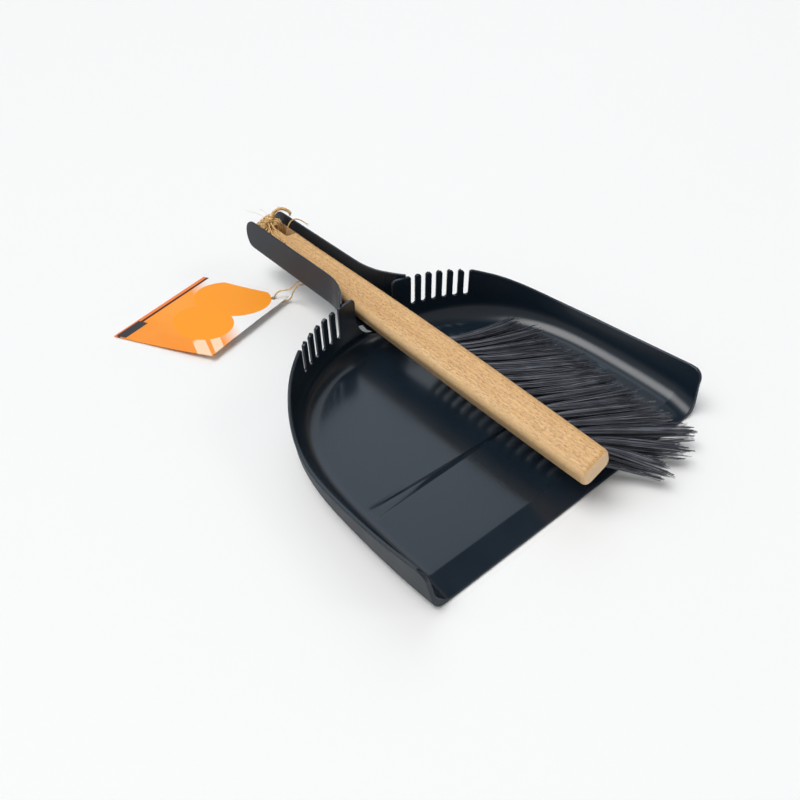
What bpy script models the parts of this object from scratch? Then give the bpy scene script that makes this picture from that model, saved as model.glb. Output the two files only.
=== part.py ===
"""Dust pan with a beech hand brush lying in it, a hanging twine and a tied-on card.

Metres, +Z up.  X is the pan's width, the lip faces -Y and the handle points to +Y.
The origin lies on the pan's underside, where its two stiffening ribs cross.
Lengths below are in millimetres, measured from the lip along Y; at() turns them into
world metres.
"""

import math

import bmesh
import bpy
from mathutils import Matrix, Vector

MM = 0.001

# ---- pan ---------------------------------------------------------------------------
LIP_Y = -94.0                # world Y of the lip
HALF_WIDTH = 116.7           # half the pan's width at its widest
WIDEST_Y = 54.5              # distance from the lip to the widest place
BACK_REACH = 135.0           # from the widest place to the back wall
FRONT_TOE_IN = 2.1           # how much each side wall closes in at the lip
WALL = 2.2                   # wall thickness
FLOOR_TOP = 5.2
LIP_TOP = 1.5
LIP_BOTTOM = 0.3
RAMP_LENGTH = 14.5
FILLET = 14.0                # inside radius between wall and floor
OUTER_ROUND = 9.0            # outside radius under the wall
OUTER_INSET = 1.2            # how far the wall stands in where that round starts
RIM_FLARE = 2.3              # how far the side walls' rim stands out past the outline
FLARE_GONE_Y = 150.0         # the back wall stands upright from here
FLARE_FADE = 60.0
FOOT_INSET = 11.4            # inner edge of the narrow foot under the wall
SIDE_HEIGHT = 24.1           # lowest height of the side walls
BACK_RISE = 22.0             # how much higher the back wall is
FRONT_RISE = 5.6             # how much the side walls rise again towards the lip
STATION_PITCH = 6.0          # between the cross-sections round the pan
RIB_HEIGHT = 3.6             # ribs under the floor, sunk a little into it

# ---- comb in the back wall ------------------------------------------------------------
SLOTS = 6                    # a side
SLOT_PITCH = 8.2
FIRST_SLOT_ARC = 33.6        # along the wall from its middle
SLOT_WIDTH = 3.5
SLOT_BOTTOM = 23.4
TOOTH_ROUND = 2.1
WALL_CUT = 14.0              # depth of a cutter that goes through a wall
OVERCUT = 10.0               # how far a cutter stands out of what it cuts

# ---- handle channel --------------------------------------------------------------------
HANDLE_END = 331.0
CHEEK_TOP = 47.7
CHANNEL_HALF = 12.25         # inside half width
CHEEK = 1.6                  # cheek thickness
CHANNEL_FLOOR = 23.4         # top of the channel's floor
SWING_FROM = 227.0           # the cheeks are straight behind this
SWING_RUN = 40.4             # length over which they swing out
SWING_WIDTH = 14.35          # how far each cheek swings out at the pan
DIP_FROM = 262.0             # the channel's floor sinks from here towards the pan
DIP_RUN = 74.0
DIP_DEPTH = 10.4
NOTCH_HALF = 16.5            # notch in the back wall for the brush
NOTCH_SHOULDER = 34.0        # the notch narrows below this height
NOTCH_BOTTOM = 12.3
NOTCH_Y = 186.0
TAB_ROUND = 3.0              # corner radius of the two tabs beside the notch
END_ROUND = 12.5
TIE_HOLE_Y = 262.0           # hole in the channel's floor for the card's string

# ---- brush -----------------------------------------------------------------------------
BAR_START = -4.5
BAR_LENGTH = 324.0
BAR_WIDE = 23.9
BAR_THICK = 17.6
BAR_ROUND = 5.9
BAR_TAPER = 0.10             # loss of section at both ends
BAR_SWELL_Y = 130.0          # thickest place
BAR_ROLL = math.radians(22)  # the brush lies rolled about its length
BAR_FRONT_Z = 28.3
BAR_BACK_Z = 35.6
HOLE_X = 3.8
HOLE_Y = 300.5
HOLE_LENGTH = 22.5
HOLE_WIDTH = 9.4

TUFT_COLUMNS = 16
TUFT_ROWS = 3
SOCKET_DEPTH = 16.0
FIRST_TUFT_Y = 6.0
LAST_TUFT_Y = 132.8
STAGGER = 4.2                # the middle row sits this far behind the others
ROW_PITCH = 4.8
TUFT_AIM = math.radians(-28)  # the tufts leave the bar this far below the level
ROOT_DEPTH = 4.2             # from the bar's middle to a tuft's root
ROOT_RADIUS = 1.5
SOCKET_RADIUS = 1.8
TIP_HALF_WIDTH = 3.1
TIP_HALF_THICK = 1.25
TIP_HEIGHTS = (7.9, 11.1, 14.3)
TIP_LINE = ((44, -23.5), (62, -21), (79, -16.5), (80, -4), (82, 12), (84, 30), (85.5, 54),
            (86, 80), (87.5, 103), (88.5, 119), (84, 131))

# ---- twine, string and card ---------------------------------------------------------------
TWINE_RADIUS = 0.6
TAIL_RADIUS = 0.5
STRING_RADIUS = 0.65
TWINE_TURNS = 4
TWINE_LOWEST = 24.75         # keeps the twine clear of the channel's floor
KNOT_AT = (-2.7, 313.2, 48.0)
KNOT_RADII = (2.5, 2.8, 1.8)
BOW_RADIUS = 1.0
BOW_ROUTE = ((0.9, 315.0, 49.2), (4.3, 317.4, 50.4), (7.8, 315.6, 53.2), (11.0, 312.4, 53.8),
             (14.0, 309.6, 51.6), (14.6, 309.4, 49.6))
TAIL_ROUTE = ((3.0, 299.0, 33.5), (3.5, 298.4, 41.8), (5.4, 298.3, 47.2), (8.9, 298.8, 49.9),
              (12.5, 298.8, 50.1), (15.8, 297.4, 48.8), (18.4, 294.2, 46.6))
STRING_ROUTE = ((3.2, 262.0, 25.9), (2.2, 261.8, 23.0), (-2.0, 262.2, 20.1), (-8.0, 263.8, 19.8),
                (-12.1, 265.6, 19.4), (-14.0, 266.6, 17.2), (-15.2, 268.8, 14.4),
                (-15.9, 270.9, 12.2), (-19.0, 275.0, 10.5), (-22.3, 276.9, 9.5),
                (-24.8, 277.6, 7.5), (-25.5, 279.0, 4.4), (-25.2, 279.6, 2.4),
                (-24.0, 277.6, 1.3), (-22.6, 273.8, 1.9), (-18.9, 272.1, 2.6),
                (-16.2, 271.3, 3.4), (-15.0, 270.5, 5.2), (-13.7, 269.7, 9.0),
                (-12.2, 266.3, 14.5), (-10.6, 264.4, 16.8), (-6.5, 260.9, 17.8),
                (-3.4, 258.9, 18.8), (-1.6, 258.3, 21.0), (-1.2, 258.6, 24.6))
CARD_CORNERS = ((-138.8, 315.4, 0.7), (-49.9, 346.5, 0.7), (-97.7, 244.5, 4.6),
                (-16.2, 273.0, 5.0))
CARD_HOLE = (-25.2, 279.2, 4.0)
CARD_THICK = 0.6

COLOURS = {
    "plastic": ((0.022, 0.032, 0.045, 1), 0.22),
    "beech": ((0.62, 0.38, 0.17, 1), 0.5),
    "bristle": ((0.03, 0.032, 0.042, 1), 0.55),
    "jute": ((0.6, 0.4, 0.17, 1), 0.9),
    "card": ((0.95, 0.36, 0.04, 1), 0.6),
}

parts = None
cutters = None


# ---- helpers ---------------------------------------------------------------------------
def clear_scene():
    for item in list(bpy.data.objects):
        bpy.data.objects.remove(item, do_unlink=True)


def new_collection(name):
    group = bpy.data.collections.new(name)
    bpy.context.scene.collection.children.link(group)
    return group


def at(x, y, z):
    """World metres of a point given in millimetres from the lip."""
    return Vector((x, y + LIP_Y, z)) * MM


def material(name):
    found = bpy.data.materials.get(name)
    if found:
        return found
    colour, roughness = COLOURS[name.rsplit(".", 1)[-1]]
    made = bpy.data.materials.new(name)
    made.use_nodes = True
    shader = made.node_tree.nodes["Principled BSDF"]
    shader.inputs["Base Color"].default_value = colour
    shader.inputs["Roughness"].default_value = roughness
    return made


def add_object(name, mesh, stuff):
    item = bpy.data.objects.new(name, mesh)
    parts.objects.link(item)
    mesh.materials.clear()
    mesh.materials.append(material(name + "." + stuff))
    return item


def finish_mesh(name, bm, smooth_below=35):
    bmesh.ops.recalc_face_normals(bm, faces=bm.faces)
    mesh = bpy.data.meshes.new(name)
    bm.to_mesh(mesh)
    bm.free()
    mesh.shade_smooth()
    mesh.set_sharp_from_angle(angle=math.radians(smooth_below))
    return mesh


def as_mesh(curve_object):
    """Turn a curve object into a welded mesh and drop the curve."""
    bpy.context.view_layer.update()
    seen = curve_object.evaluated_get(bpy.context.evaluated_depsgraph_get())
    mesh = bpy.data.meshes.new_from_object(seen)
    bm = bmesh.new()
    bm.from_mesh(mesh)
    bmesh.ops.remove_doubles(bm, verts=bm.verts, dist=1e-6)
    bmesh.ops.recalc_face_normals(bm, faces=bm.faces)
    bm.to_mesh(mesh)
    bm.free()
    matrix = curve_object.matrix_world.copy()
    bpy.data.objects.remove(curve_object, do_unlink=True)
    return mesh, matrix


def prism(name, outline, thickness, matrix):
    """A cutter: a flat outline (mm) extruded both ways along its own Z, then placed."""
    curve = bpy.data.curves.new(name, "CURVE")
    curve.dimensions = "2D"
    curve.fill_mode = "BOTH"
    curve.extrude = thickness * MM / 2
    spline = curve.splines.new("POLY")
    spline.points.add(len(outline) - 1)
    for point, (a, b) in zip(spline.points, outline):
        point.co = (a * MM, b * MM, 0, 1)
    spline.use_cyclic_u = True
    item = bpy.data.objects.new(name, curve)
    cutters.objects.link(item)
    item.matrix_world = matrix
    mesh, placed = as_mesh(item)
    cutter = bpy.data.objects.new(name, mesh)
    cutters.objects.link(cutter)
    cutter.matrix_world = placed
    hide(cutter)
    return cutter


def hide(cutter):
    cutter.hide_render = True
    cutter.display_type = "WIRE"


def boolean(item, other, operation):
    step = item.modifiers.new(operation.lower() + "_" + other.name, "BOOLEAN")
    step.object = other
    step.operation = operation
    step.solver = "EXACT"
    return step


def frame(origin, across, up):
    """A matrix whose X is across, whose Y is up and whose Z is square to both."""
    x = across.normalized()
    z = x.cross(up.normalized()).normalized()
    y = z.cross(x)
    turned = Matrix((x, y, z)).transposed().to_4x4()
    turned.translation = origin
    return turned


def smooth_route(points, step):
    """Points every `step` mm along a Catmull-Rom curve through `points` (mm)."""
    knots = [Vector(p) for p in points]
    knots = [knots[0] * 2 - knots[1]] + knots + [knots[-1] * 2 - knots[-2]]
    fine = []
    for a, b, c, d in zip(knots, knots[1:], knots[2:], knots[3:]):
        for k in range(16):
            t = k / 16
            fine.append(0.5 * (2 * b + (c - a) * t + (2 * a - 5 * b + 4 * c - d) * t * t
                               + (3 * b - a - 3 * c + d) * t ** 3))
    fine.append(knots[-2])
    return spaced(fine, step)


def spaced(fine, step):
    """Even points along a fine polyline; both ends are kept."""
    total = sum((b - a).length for a, b in zip(fine, fine[1:]))
    gap = total / max(1, round(total / step))
    out = [fine[0]]
    walked = 0.0
    for a, b in zip(fine, fine[1:]):
        length = (b - a).length
        while walked + length >= gap * len(out) and len(out) * gap < total - gap / 2:
            out.append(a.lerp(b, (gap * len(out) - walked) / length))
        walked += length
    return out + [fine[-1]]


def tube(name, points, radius, stuff):
    curve = bpy.data.curves.new(name, "CURVE")
    curve.dimensions = "3D"
    curve.bevel_depth = radius * MM
    curve.bevel_resolution = 2
    curve.use_fill_caps = True
    spline = curve.splines.new("POLY")
    spline.points.add(len(points) - 1)
    for point, place in zip(spline.points, points):
        point.co = (*at(*place), 1)
    item = bpy.data.objects.new(name, curve)
    parts.objects.link(item)
    curve.materials.append(material(name + "." + stuff))
    return item


def loft(bm, rings, closed):
    """Quads between rings of vertices; returns the rings as BMVerts."""
    made = [[bm.verts.new(at(*p)) for p in ring] for ring in rings]
    for a, b in zip(made, made[1:]):
        count = len(a) if closed else len(a) - 1
        for i in range(count):
            j = (i + 1) % len(a)
            bm.faces.new((a[i], a[j], b[j], b[i]))
    return made


# ---- pan outline ---------------------------------------------------------------------------
def half_width(y):
    """Half the pan's outside width at a distance y from the lip."""
    if y < WIDEST_Y:
        return HALF_WIDTH - FRONT_TOE_IN * ((WIDEST_Y - y) / 47) ** 2
    u = min(1.0, (y - WIDEST_Y) / BACK_REACH)
    return HALF_WIDTH * math.sqrt(1 - u ** 3)


def wall_y(x):
    """Distance from the lip to the outside of the back wall at x."""
    return WIDEST_Y + BACK_REACH * (1 - (x / HALF_WIDTH) ** 2) ** (1 / 3)


def rim_height(y):
    back = max(0.0, (y - 89) / 101.5) ** 1.25
    back = min(back, 1.0)
    front = max(0.0, (85 - y) / 77) ** 1.6
    return SIDE_HEIGHT + BACK_RISE * back * back * (3 - 2 * back) + FRONT_RISE * front


def floor_top(y):
    return LIP_TOP + (FLOOR_TOP - LIP_TOP) * min(1.0, y / RAMP_LENGTH)


def back_outline():
    """The curved wall as fine points, from its middle at the back to its widest place."""
    steps = 400
    line = []
    for k in range(steps + 1):
        angle = math.pi / 2 * (1 - k / steps)
        y = WIDEST_Y + BACK_REACH * math.sin(angle) ** (2 / 3)
        line.append(Vector((HALF_WIDTH * math.cos(angle), y, 0)))
    return line


def stations():
    """(outside point, inward direction) from the lip round to the middle of the back."""
    ahead = [0, 5, 10, RAMP_LENGTH, 24, 38]
    out = [(Vector((half_width(y), y, 0)), Vector((-1, 0, 0))) for y in ahead]
    curved = list(reversed(spaced(back_outline(), STATION_PITCH)))
    for before, here, after in zip([curved[0]] + curved, curved, curved[1:] + [curved[-1]]):
        along = (after - before).normalized()
        out.append((here, Vector((-along.y, along.x, 0))))
    out[-1] = (Vector((0, out[-1][0].y, 0)), Vector((0, -1, 0)))
    return out


def rim_flare(y):
    """How far the rim stands out past the outline."""
    share = min(1.0, max(0.0, (FLARE_GONE_Y - y) / FLARE_FADE))
    return RIM_FLARE * share * share * (3 - 2 * share)


def wall_profile(y):
    """(distance inward, height) from the floor's edge over the rim to the underside."""
    top = floor_top(y)
    rim = rim_height(y)
    out = rim_flare(y)
    under = LIP_BOTTOM + (FLOOR_TOP - WALL - LIP_BOTTOM) * min(1.0, y / RAMP_LENGTH)
    hollow = (under - LIP_BOTTOM) / (FLOOR_TOP - WALL - LIP_BOTTOM)
    inside = WALL + 0.7
    points = [(inside + FILLET, top)]
    for angle in (18, 36, 54, 72, 90):
        turn = math.radians(angle)
        points.append((inside + FILLET * (1 - math.sin(turn)),
                       top + FILLET * (1 - math.cos(turn))))
    points += [(WALL - out, rim - 0.7), (WALL - 0.7 - out, rim), (0.7 - out, rim),
               (-out, rim - 0.7)]
    for angle in (0, 18, 36, 54, 72, 90):
        turn = math.radians(angle)
        points.append((OUTER_INSET + OUTER_ROUND * (1 - math.cos(turn)),
                       OUTER_ROUND * (1 - math.sin(turn))))
    points += [(FOOT_INSET, 0), (FOOT_INSET, under + 0.4 * hollow + 0.05)]
    points += [(inside + FILLET, under)]
    return points


# ---- pan -------------------------------------------------------------------------------------
def pan_shell():
    """Half of the moulded scoop, open at X = 0 for the mirror."""
    bm = bmesh.new()
    rings = []
    for place, inward in stations():
        ring = []
        for distance, height in wall_profile(place.y):
            point = place + inward * distance
            ring.append((max(0.0, point.x), point.y, height))
        rings.append(ring)
    made = loft(bm, rings, closed=False)
    crease = [place.y for place, _ in stations()].index(RAMP_LENGTH)
    under = FLOOR_TOP - WALL
    for column, front_z, back_z in ((0, LIP_TOP, FLOOR_TOP), (-1, LIP_BOTTOM, under)):
        edge = [ring[column] for ring in made]
        front = bm.verts.new(at(0, 0, front_z))
        step = bm.verts.new(at(0, RAMP_LENGTH, back_z))
        bm.faces.new([front, step] + edge[crease::-1])
        bm.faces.new([step] + edge[:crease - 1:-1])
        if column == 0:
            top_front = front
        else:
            bm.faces.new([top_front] + made[0] + [front])
    item = add_object("dust_pan", finish_mesh("dust_pan", bm), "plastic")
    mirror = item.modifiers.new("mirror", "MIRROR")
    mirror.use_axis = (True, False, False)
    mirror.merge_threshold = 1e-5
    return item


def slot_outline(rim):
    """A slot with a round bottom whose mouth rounds off the teeth beside it."""
    half = SLOT_WIDTH / 2
    bottom = []
    for k in range(9):
        turn = math.pi + math.pi * k / 8
        bottom.append((half * math.cos(turn), SLOT_BOTTOM + half + half * math.sin(turn)))
    mouth = []
    for k in range(5):
        turn = math.pi / 2 * k / 4
        mouth.append((half + TOOTH_ROUND * (1 - math.cos(turn)),
                      rim - TOOTH_ROUND * (1 - math.sin(turn))))
    mouth.append((half + TOOTH_ROUND, rim + OVERCUT))
    return bottom + mouth + [(-a, b) for a, b in reversed(mouth)]


def slot_cutters():
    fine = back_outline()
    for k in range(SLOTS):
        place, along = point_on(fine, FIRST_SLOT_ARC + SLOT_PITCH * k)
        outline = slot_outline(rim_height(place.y))
        for side in (1, -1):
            origin = at(side * place.x, place.y, 0)
            across = Vector((along.x, side * along.y, 0))
            name = "slot_%d_%s" % (k + 1, "right" if side > 0 else "left")
            yield prism(name, outline, WALL_CUT, frame(origin, across, Vector((0, 0, 1))))


def point_on(fine, arc):
    walked = 0.0
    for a, b in zip(fine, fine[1:]):
        length = (b - a).length
        if walked + length >= arc:
            return a.lerp(b, (arc - walked) / length), (b - a).normalized()
        walked += length
    return fine[-1], (fine[-1] - fine[-2]).normalized()


def notch_cutter():
    """The gap in the back wall that the brush's handle passes through."""
    depth = NOTCH_SHOULDER - NOTCH_BOTTOM
    top = SIDE_HEIGHT + BACK_RISE
    edge = NOTCH_HALF + TAB_ROUND
    outline = [(-edge, top + OVERCUT), (-edge, top + 0.1),
               (0.7 * TAB_ROUND - edge, top - 0.3 * TAB_ROUND), (-NOTCH_HALF, top - TAB_ROUND)]
    for k in range(13):
        turn = math.pi + math.pi * k / 12
        outline.append((NOTCH_HALF * math.cos(turn), NOTCH_SHOULDER + depth * math.sin(turn)))
    outline += [(-a, b) for a, b in reversed(outline[:4])]
    upright = frame(at(0, NOTCH_Y, 0), Vector((1, 0, 0)), Vector((0, 0, 1)))
    return prism("notch", outline, WALL_CUT, upright)


def front_trim():
    """Cuts the side walls' front edge back in one curve from the lip to the rim."""
    edge = [(-12, 1.7), (0.2, 1.7), (0.8, 4.5), (1.6, 9), (2.3, 14), (2.9, 18)]
    for k in range(7):
        turn = math.radians(180 - 15 * k)
        edge.append((10.2 + 6.8 * math.cos(turn), rim_height(10) - 7.0 + 7.0 * math.sin(turn)))
    edge += [(22, 70), (-12, 70)]
    across = frame(at(0, 0, 0), Vector((0, 1, 0)), Vector((0, 0, 1)))
    return prism("front_trim", edge, 300, across)


def channel_half(y):
    """Inside half width of the handle's channel."""
    if y >= SWING_FROM:
        return CHANNEL_HALF
    return CHANNEL_HALF + SWING_WIDTH * ((SWING_FROM - y) / SWING_RUN) ** 2.5


def channel_dip(y):
    return DIP_DEPTH * max(0.0, (DIP_FROM - y) / DIP_RUN) ** 2


def channel_section(y, follow):
    """Inner face of the channel at y; `follow` bends the section along the back wall."""
    half = channel_half(y)
    side = [(half, CHEEK_TOP), (half, 38), (half, CHANNEL_FLOOR + 3),
            (half - 0.9, CHANNEL_FLOOR + 0.9), (half - 3, CHANNEL_FLOOR)]
    bottom = []
    for k in range(9):
        x = 7.5 * (1 - k / 4)
        bottom.append((x, CHANNEL_FLOOR - channel_dip(y) * (1 - (x / 10) ** 2) ** 2))
    points = side + bottom + [(-x, z) for x, z in reversed(side)]
    edge = wall_y(channel_half(NOTCH_Y + 1))
    return [(x, y + follow * (wall_y(x) - edge), z) for x, z in points]


def handle_shell():
    bm = bmesh.new()
    places = ((185.8, 1), (190, 0.9), (195, 0.6), (200, 0.3), (206, 0), (213, 0), (220, 0),
              (SWING_FROM, 0), (244, 0), (DIP_FROM, 0), (300, 0), (HANDLE_END, 0))
    loft(bm, [channel_section(y, follow) for y, follow in places], closed=False)
    bmesh.ops.recalc_face_normals(bm, faces=bm.faces)
    low = min(bm.faces, key=lambda face: face.calc_center_median().z)
    if low.normal.z < 0:
        bmesh.ops.reverse_faces(bm, faces=bm.faces)
    mesh = bpy.data.meshes.new("handle_shell")
    bm.to_mesh(mesh)
    bm.free()
    item = bpy.data.objects.new("handle_shell", mesh)
    cutters.objects.link(item)
    hide(item)
    shell = item.modifiers.new("thickness", "SOLIDIFY")
    shell.thickness = CHEEK * MM
    shell.offset = -1
    boolean(item, end_trim(), "DIFFERENCE")
    boolean(item, tie_hole(), "DIFFERENCE")
    return item


def end_trim():
    """Rounds the free ends of both cheeks, seen from the side."""
    low = CHANNEL_FLOOR - CHEEK
    start = HANDLE_END - END_ROUND
    edge = [(start, low - OVERCUT), (start, low)]
    for centre_z, first in ((low + END_ROUND, -90), (CHEEK_TOP - END_ROUND, 0)):
        for k in range(7):
            turn = math.radians(first + 15 * k)
            edge.append((start + (END_ROUND - 0.2) * math.cos(turn),
                         centre_z + END_ROUND * math.sin(turn)))
    edge += [(start, CHEEK_TOP + OVERCUT), (HANDLE_END + OVERCUT, CHEEK_TOP + OVERCUT),
             (HANDLE_END + OVERCUT, low - OVERCUT)]
    across = frame(at(0, 0, 0), Vector((0, 1, 0)), Vector((0, 0, 1)))
    return prism("end_trim", edge, 60, across)


def round_slot(length, width, steps=8):
    """A flat outline with round ends, long in its second direction."""
    reach = (length - width) / 2
    points = []
    for centre, start in ((reach, 0), (-reach, 180)):
        for k in range(steps + 1):
            turn = math.radians(start + 180 * k / steps)
            points.append((width / 2 * math.cos(turn), centre + width / 2 * math.sin(turn)))
    return points


def tie_hole():
    flat = frame(at(0, TIE_HOLE_Y, CHANNEL_FLOOR), Vector((1, 0, 0)), Vector((0, 1, 0)))
    return prism("tie_hole", round_slot(16, 8), WALL_CUT, flat)


def groove_cutter():
    """A shallow crease across the floor, wider at the walls than in the middle."""
    edge = [(-104, 60.7), (0, 63.2), (104, 60.7), (104, 66.8), (0, 64.4), (-104, 66.8)]
    flat = frame(at(0, 0, FLOOR_TOP + 0.4), Vector((1, 0, 0)), Vector((0, 1, 0)))
    return prism("groove", edge, 1.4, flat)


def rib_cross():
    """Two crossing ribs under the floor; their lower faces are what the pan stands on."""
    outline = [(-5, -5), (-5, -72), (5, -72), (5, -5), (80, -5), (80, 5), (5, 5), (5, 74),
               (-5, 74), (-5, 5), (-80, 5), (-80, -5)]
    flat = frame(at(0, -LIP_Y, RIB_HEIGHT / 2), Vector((1, 0, 0)), Vector((0, 1, 0)))
    return prism("rib_cross", outline, RIB_HEIGHT, flat)


def build_pan():
    pan = pan_shell()
    boolean(pan, rib_cross(), "UNION")
    boolean(pan, groove_cutter(), "DIFFERENCE")
    for cutter in slot_cutters():
        boolean(pan, cutter, "DIFFERENCE")
    boolean(pan, notch_cutter(), "DIFFERENCE")
    boolean(pan, front_trim(), "DIFFERENCE")
    boolean(pan, handle_shell(), "UNION").use_self = True
    return pan


# ---- brush ---------------------------------------------------------------------------------
def bar_scale(y):
    return 1 - BAR_TAPER * min(1.0, ((y - BAR_SWELL_Y) / BAR_SWELL_Y) ** 2)


def bar_centre(y):
    return Vector((0, y, BAR_FRONT_Z + (BAR_BACK_Z - BAR_FRONT_Z) * y / BAR_LENGTH))


def bar_section(y, inset):
    """A rounded rectangle, rolled about the bar's length."""
    scale = bar_scale(y)
    corner = max(BAR_ROUND * scale - inset, 1.2)
    wide = BAR_WIDE * scale / 2 - inset - corner
    thick = BAR_THICK * scale / 2 - inset - corner
    centre = bar_centre(y)
    points = []
    for sx, sz, start in ((1, 1, 0), (-1, 1, 90), (-1, -1, 180), (1, -1, 270)):
        for k in range(6):
            turn = math.radians(start + 18 * k)
            a = sx * wide + corner * math.cos(turn)
            b = sz * thick + corner * math.sin(turn)
            x = a * math.cos(BAR_ROLL) - b * math.sin(BAR_ROLL)
            z = a * math.sin(BAR_ROLL) + b * math.cos(BAR_ROLL)
            points.append((centre.x + x, y, centre.z + z))
    return points


def tuft_axes():
    """Aim of the tufts, and the direction from one row to the next."""
    aim = Vector((math.cos(TUFT_AIM), 0, math.sin(TUFT_AIM)))
    return aim, Vector((-aim.z, 0, aim.x))


def tuft_root(column, row):
    aim, across = tuft_axes()
    y = FIRST_TUFT_Y + (LAST_TUFT_Y - FIRST_TUFT_Y) * column / (TUFT_COLUMNS - 1)
    y += STAGGER if row == 1 else 0
    return bar_centre(y) + across * ROW_PITCH * (row - (TUFT_ROWS - 1) / 2) + aim * ROOT_DEPTH


def socket_cutter():
    """All the blind holes that hold the tufts, as one cutter of separate cylinders."""
    aim, _ = tuft_axes()
    bm = bmesh.new()
    for column in range(TUFT_COLUMNS):
        for row in range(TUFT_ROWS):
            middle = tuft_root(column, row) + aim * (SOCKET_DEPTH / 2 - 0.4)
            turn = aim.to_track_quat("Z", "Y").to_matrix().to_4x4()
            turn.translation = at(*middle)
            bmesh.ops.create_cone(bm, cap_ends=True, segments=10, radius1=SOCKET_RADIUS * MM,
                                  radius2=SOCKET_RADIUS * MM, depth=SOCKET_DEPTH * MM,
                                  matrix=turn)
    item = bpy.data.objects.new("sockets", finish_mesh("sockets", bm))
    cutters.objects.link(item)
    hide(item)
    return item


def build_bar():
    bm = bmesh.new()
    ends = ((0, 2.4), (0.5, 1.2), (1.4, 0.4), (2.6, 0))
    rings = [bar_section(BAR_START + y, inset) for y, inset in ends]
    rings += [bar_section(y, 0) for y in (30, 65, 100, 130, 160, 195, 230, 262, 290)]
    rings += [bar_section(BAR_LENGTH - y, inset) for y, inset in reversed(ends)]
    made = loft(bm, rings, closed=True)
    bm.faces.new(made[0])
    bm.faces.new(made[-1])
    bar = add_object("brush_bar", finish_mesh("brush_bar", bm), "beech")
    upright = frame(at(HOLE_X, HOLE_Y, 35), Vector((1, 0, 0)), Vector((0, 1, 0)))
    boolean(bar, prism("hanging_hole", round_slot(HOLE_LENGTH, HOLE_WIDTH), 40, upright),
            "DIFFERENCE")
    boolean(bar, socket_cutter(), "DIFFERENCE")
    return bar


def tuft_tips():
    """A tip for each column, front to back; the tufts at both ends splay further apart."""
    fine = smooth_route([(x, y, 0) for x, y in TIP_LINE], 0.5)
    tips = []
    for column in range(TUFT_COLUMNS):
        share = column / (TUFT_COLUMNS - 1)
        share += share * (1 - share) * (1.0 - 1.7 * share)
        tips.append(fine[round(share * (len(fine) - 1))])
    return tips


def build_tuft(column, row, tip):
    """One bundle of bristles: round in its socket, fanned out flat at the tips."""
    aim, _ = tuft_axes()
    root = tuft_root(column, row)
    leave = root + aim * 10
    end = Vector((tip.x, tip.y, TIP_HEIGHTS[row]))
    bend = leave + aim * (end - leave).length * 0.3
    rings = []
    for t in (0, 0.35, 0.7, 1.0):
        rings.append((root.lerp(leave, t), aim, 0.0))
    for t in (0.2, 0.45, 0.72, 1.0):
        place = (1 - t) ** 2 * leave + 2 * t * (1 - t) * bend + t * t * end
        run = (2 * (1 - t) * (bend - leave) + 2 * t * (end - bend)).normalized()
        rings.append((place, run, t))
    bm = bmesh.new()
    loops = []
    for place, run, spread in rings:
        side = Vector((run.y, -run.x, 0)).normalized()
        up = side.cross(run).normalized()
        wide = ROOT_RADIUS + (TIP_HALF_WIDTH - ROOT_RADIUS) * spread
        thick = ROOT_RADIUS + (TIP_HALF_THICK - ROOT_RADIUS) * spread
        loops.append([place + side * wide * math.cos(k * math.pi / 4)
                      + up * thick * math.sin(k * math.pi / 4) for k in range(8)])
    made = loft(bm, loops, closed=True)
    bm.faces.new(made[0])
    bm.faces.new(made[-1])
    name = "bristle_tuft_%d_%02d" % (row + 1, column + 1)
    return add_object(name, finish_mesh(name, bm), "bristle")


# ---- twine, string and card ----------------------------------------------------------------
def twine_route():
    """Turns through the hanging hole and round the back end of the bar."""
    centre = bar_centre(BAR_LENGTH - 8)
    slope = math.tan(BAR_ROLL)
    rise = BAR_THICK * bar_scale(BAR_LENGTH) / 2 / math.cos(BAR_ROLL)
    route = []
    for turn in range(TWINE_TURNS):
        inner = 1.0 + 1.65 * turn
        outer = -5.6 + 2.4 * turn
        middle = (inner + outer) / 2
        over = centre.z + rise + 1.25
        under = centre.z - rise - 1.1
        low = max(under + slope * outer, TWINE_LOWEST)
        route += [(inner, 308.6, centre.z), (inner, 308.5, under + slope * inner + 1.4),
                  (inner - 0.4, 310.2, max(under + slope * inner, TWINE_LOWEST)),
                  (middle, 317, max(under + slope * middle, TWINE_LOWEST)), (outer, 323.5, low),
                  (outer, 325.6, low + 1.4), (outer, 326.0, centre.z),
                  (outer + 0.3, 325.2, over + slope * outer - 0.4),
                  (middle + 1.0, 317, over + slope * (middle + 1.0)),
                  (inner + 0.9, 309.6, over + slope * (inner + 0.9) - 0.5)]
    return route[:-1]


def build_knot():
    bm = bmesh.new()
    bmesh.ops.create_icosphere(bm, subdivisions=2, radius=1.0)
    bmesh.ops.scale(bm, vec=Vector(KNOT_RADII) * MM, verts=bm.verts)
    bmesh.ops.translate(bm, vec=at(*KNOT_AT), verts=bm.verts)
    return add_object("twine_knot", finish_mesh("twine_knot", bm), "jute")


def build_card():
    """The card: flat along one long edge and lifted a little along the other."""
    a, b, c, d = (Vector(corner) for corner in CARD_CORNERS)
    bm = bmesh.new()
    rings = []
    for k in range(7):
        t = k / 6
        left = a.lerp(c, t)
        right = b.lerp(d, t)
        height = a.z + (c.z - a.z) * t * t
        rings.append([(*left.lerp(right, j / 6).xy, height) for j in range(7)])
    loft(bm, rings, closed=False)
    bmesh.ops.recalc_face_normals(bm, faces=bm.faces)
    mesh = bpy.data.meshes.new("hang_card")
    bm.to_mesh(mesh)
    bm.free()
    card = add_object("hang_card", mesh, "card")
    shell = card.modifiers.new("thickness", "SOLIDIFY")
    shell.thickness = CARD_THICK * MM
    shell.offset = 0
    flat = frame(at(*CARD_HOLE), Vector((1, 0, 0)), Vector((0, 1, 0)))
    boolean(card, prism("card_hole", round_slot(5.6, 5.0, 6), 16, flat), "DIFFERENCE")
    return card


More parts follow.
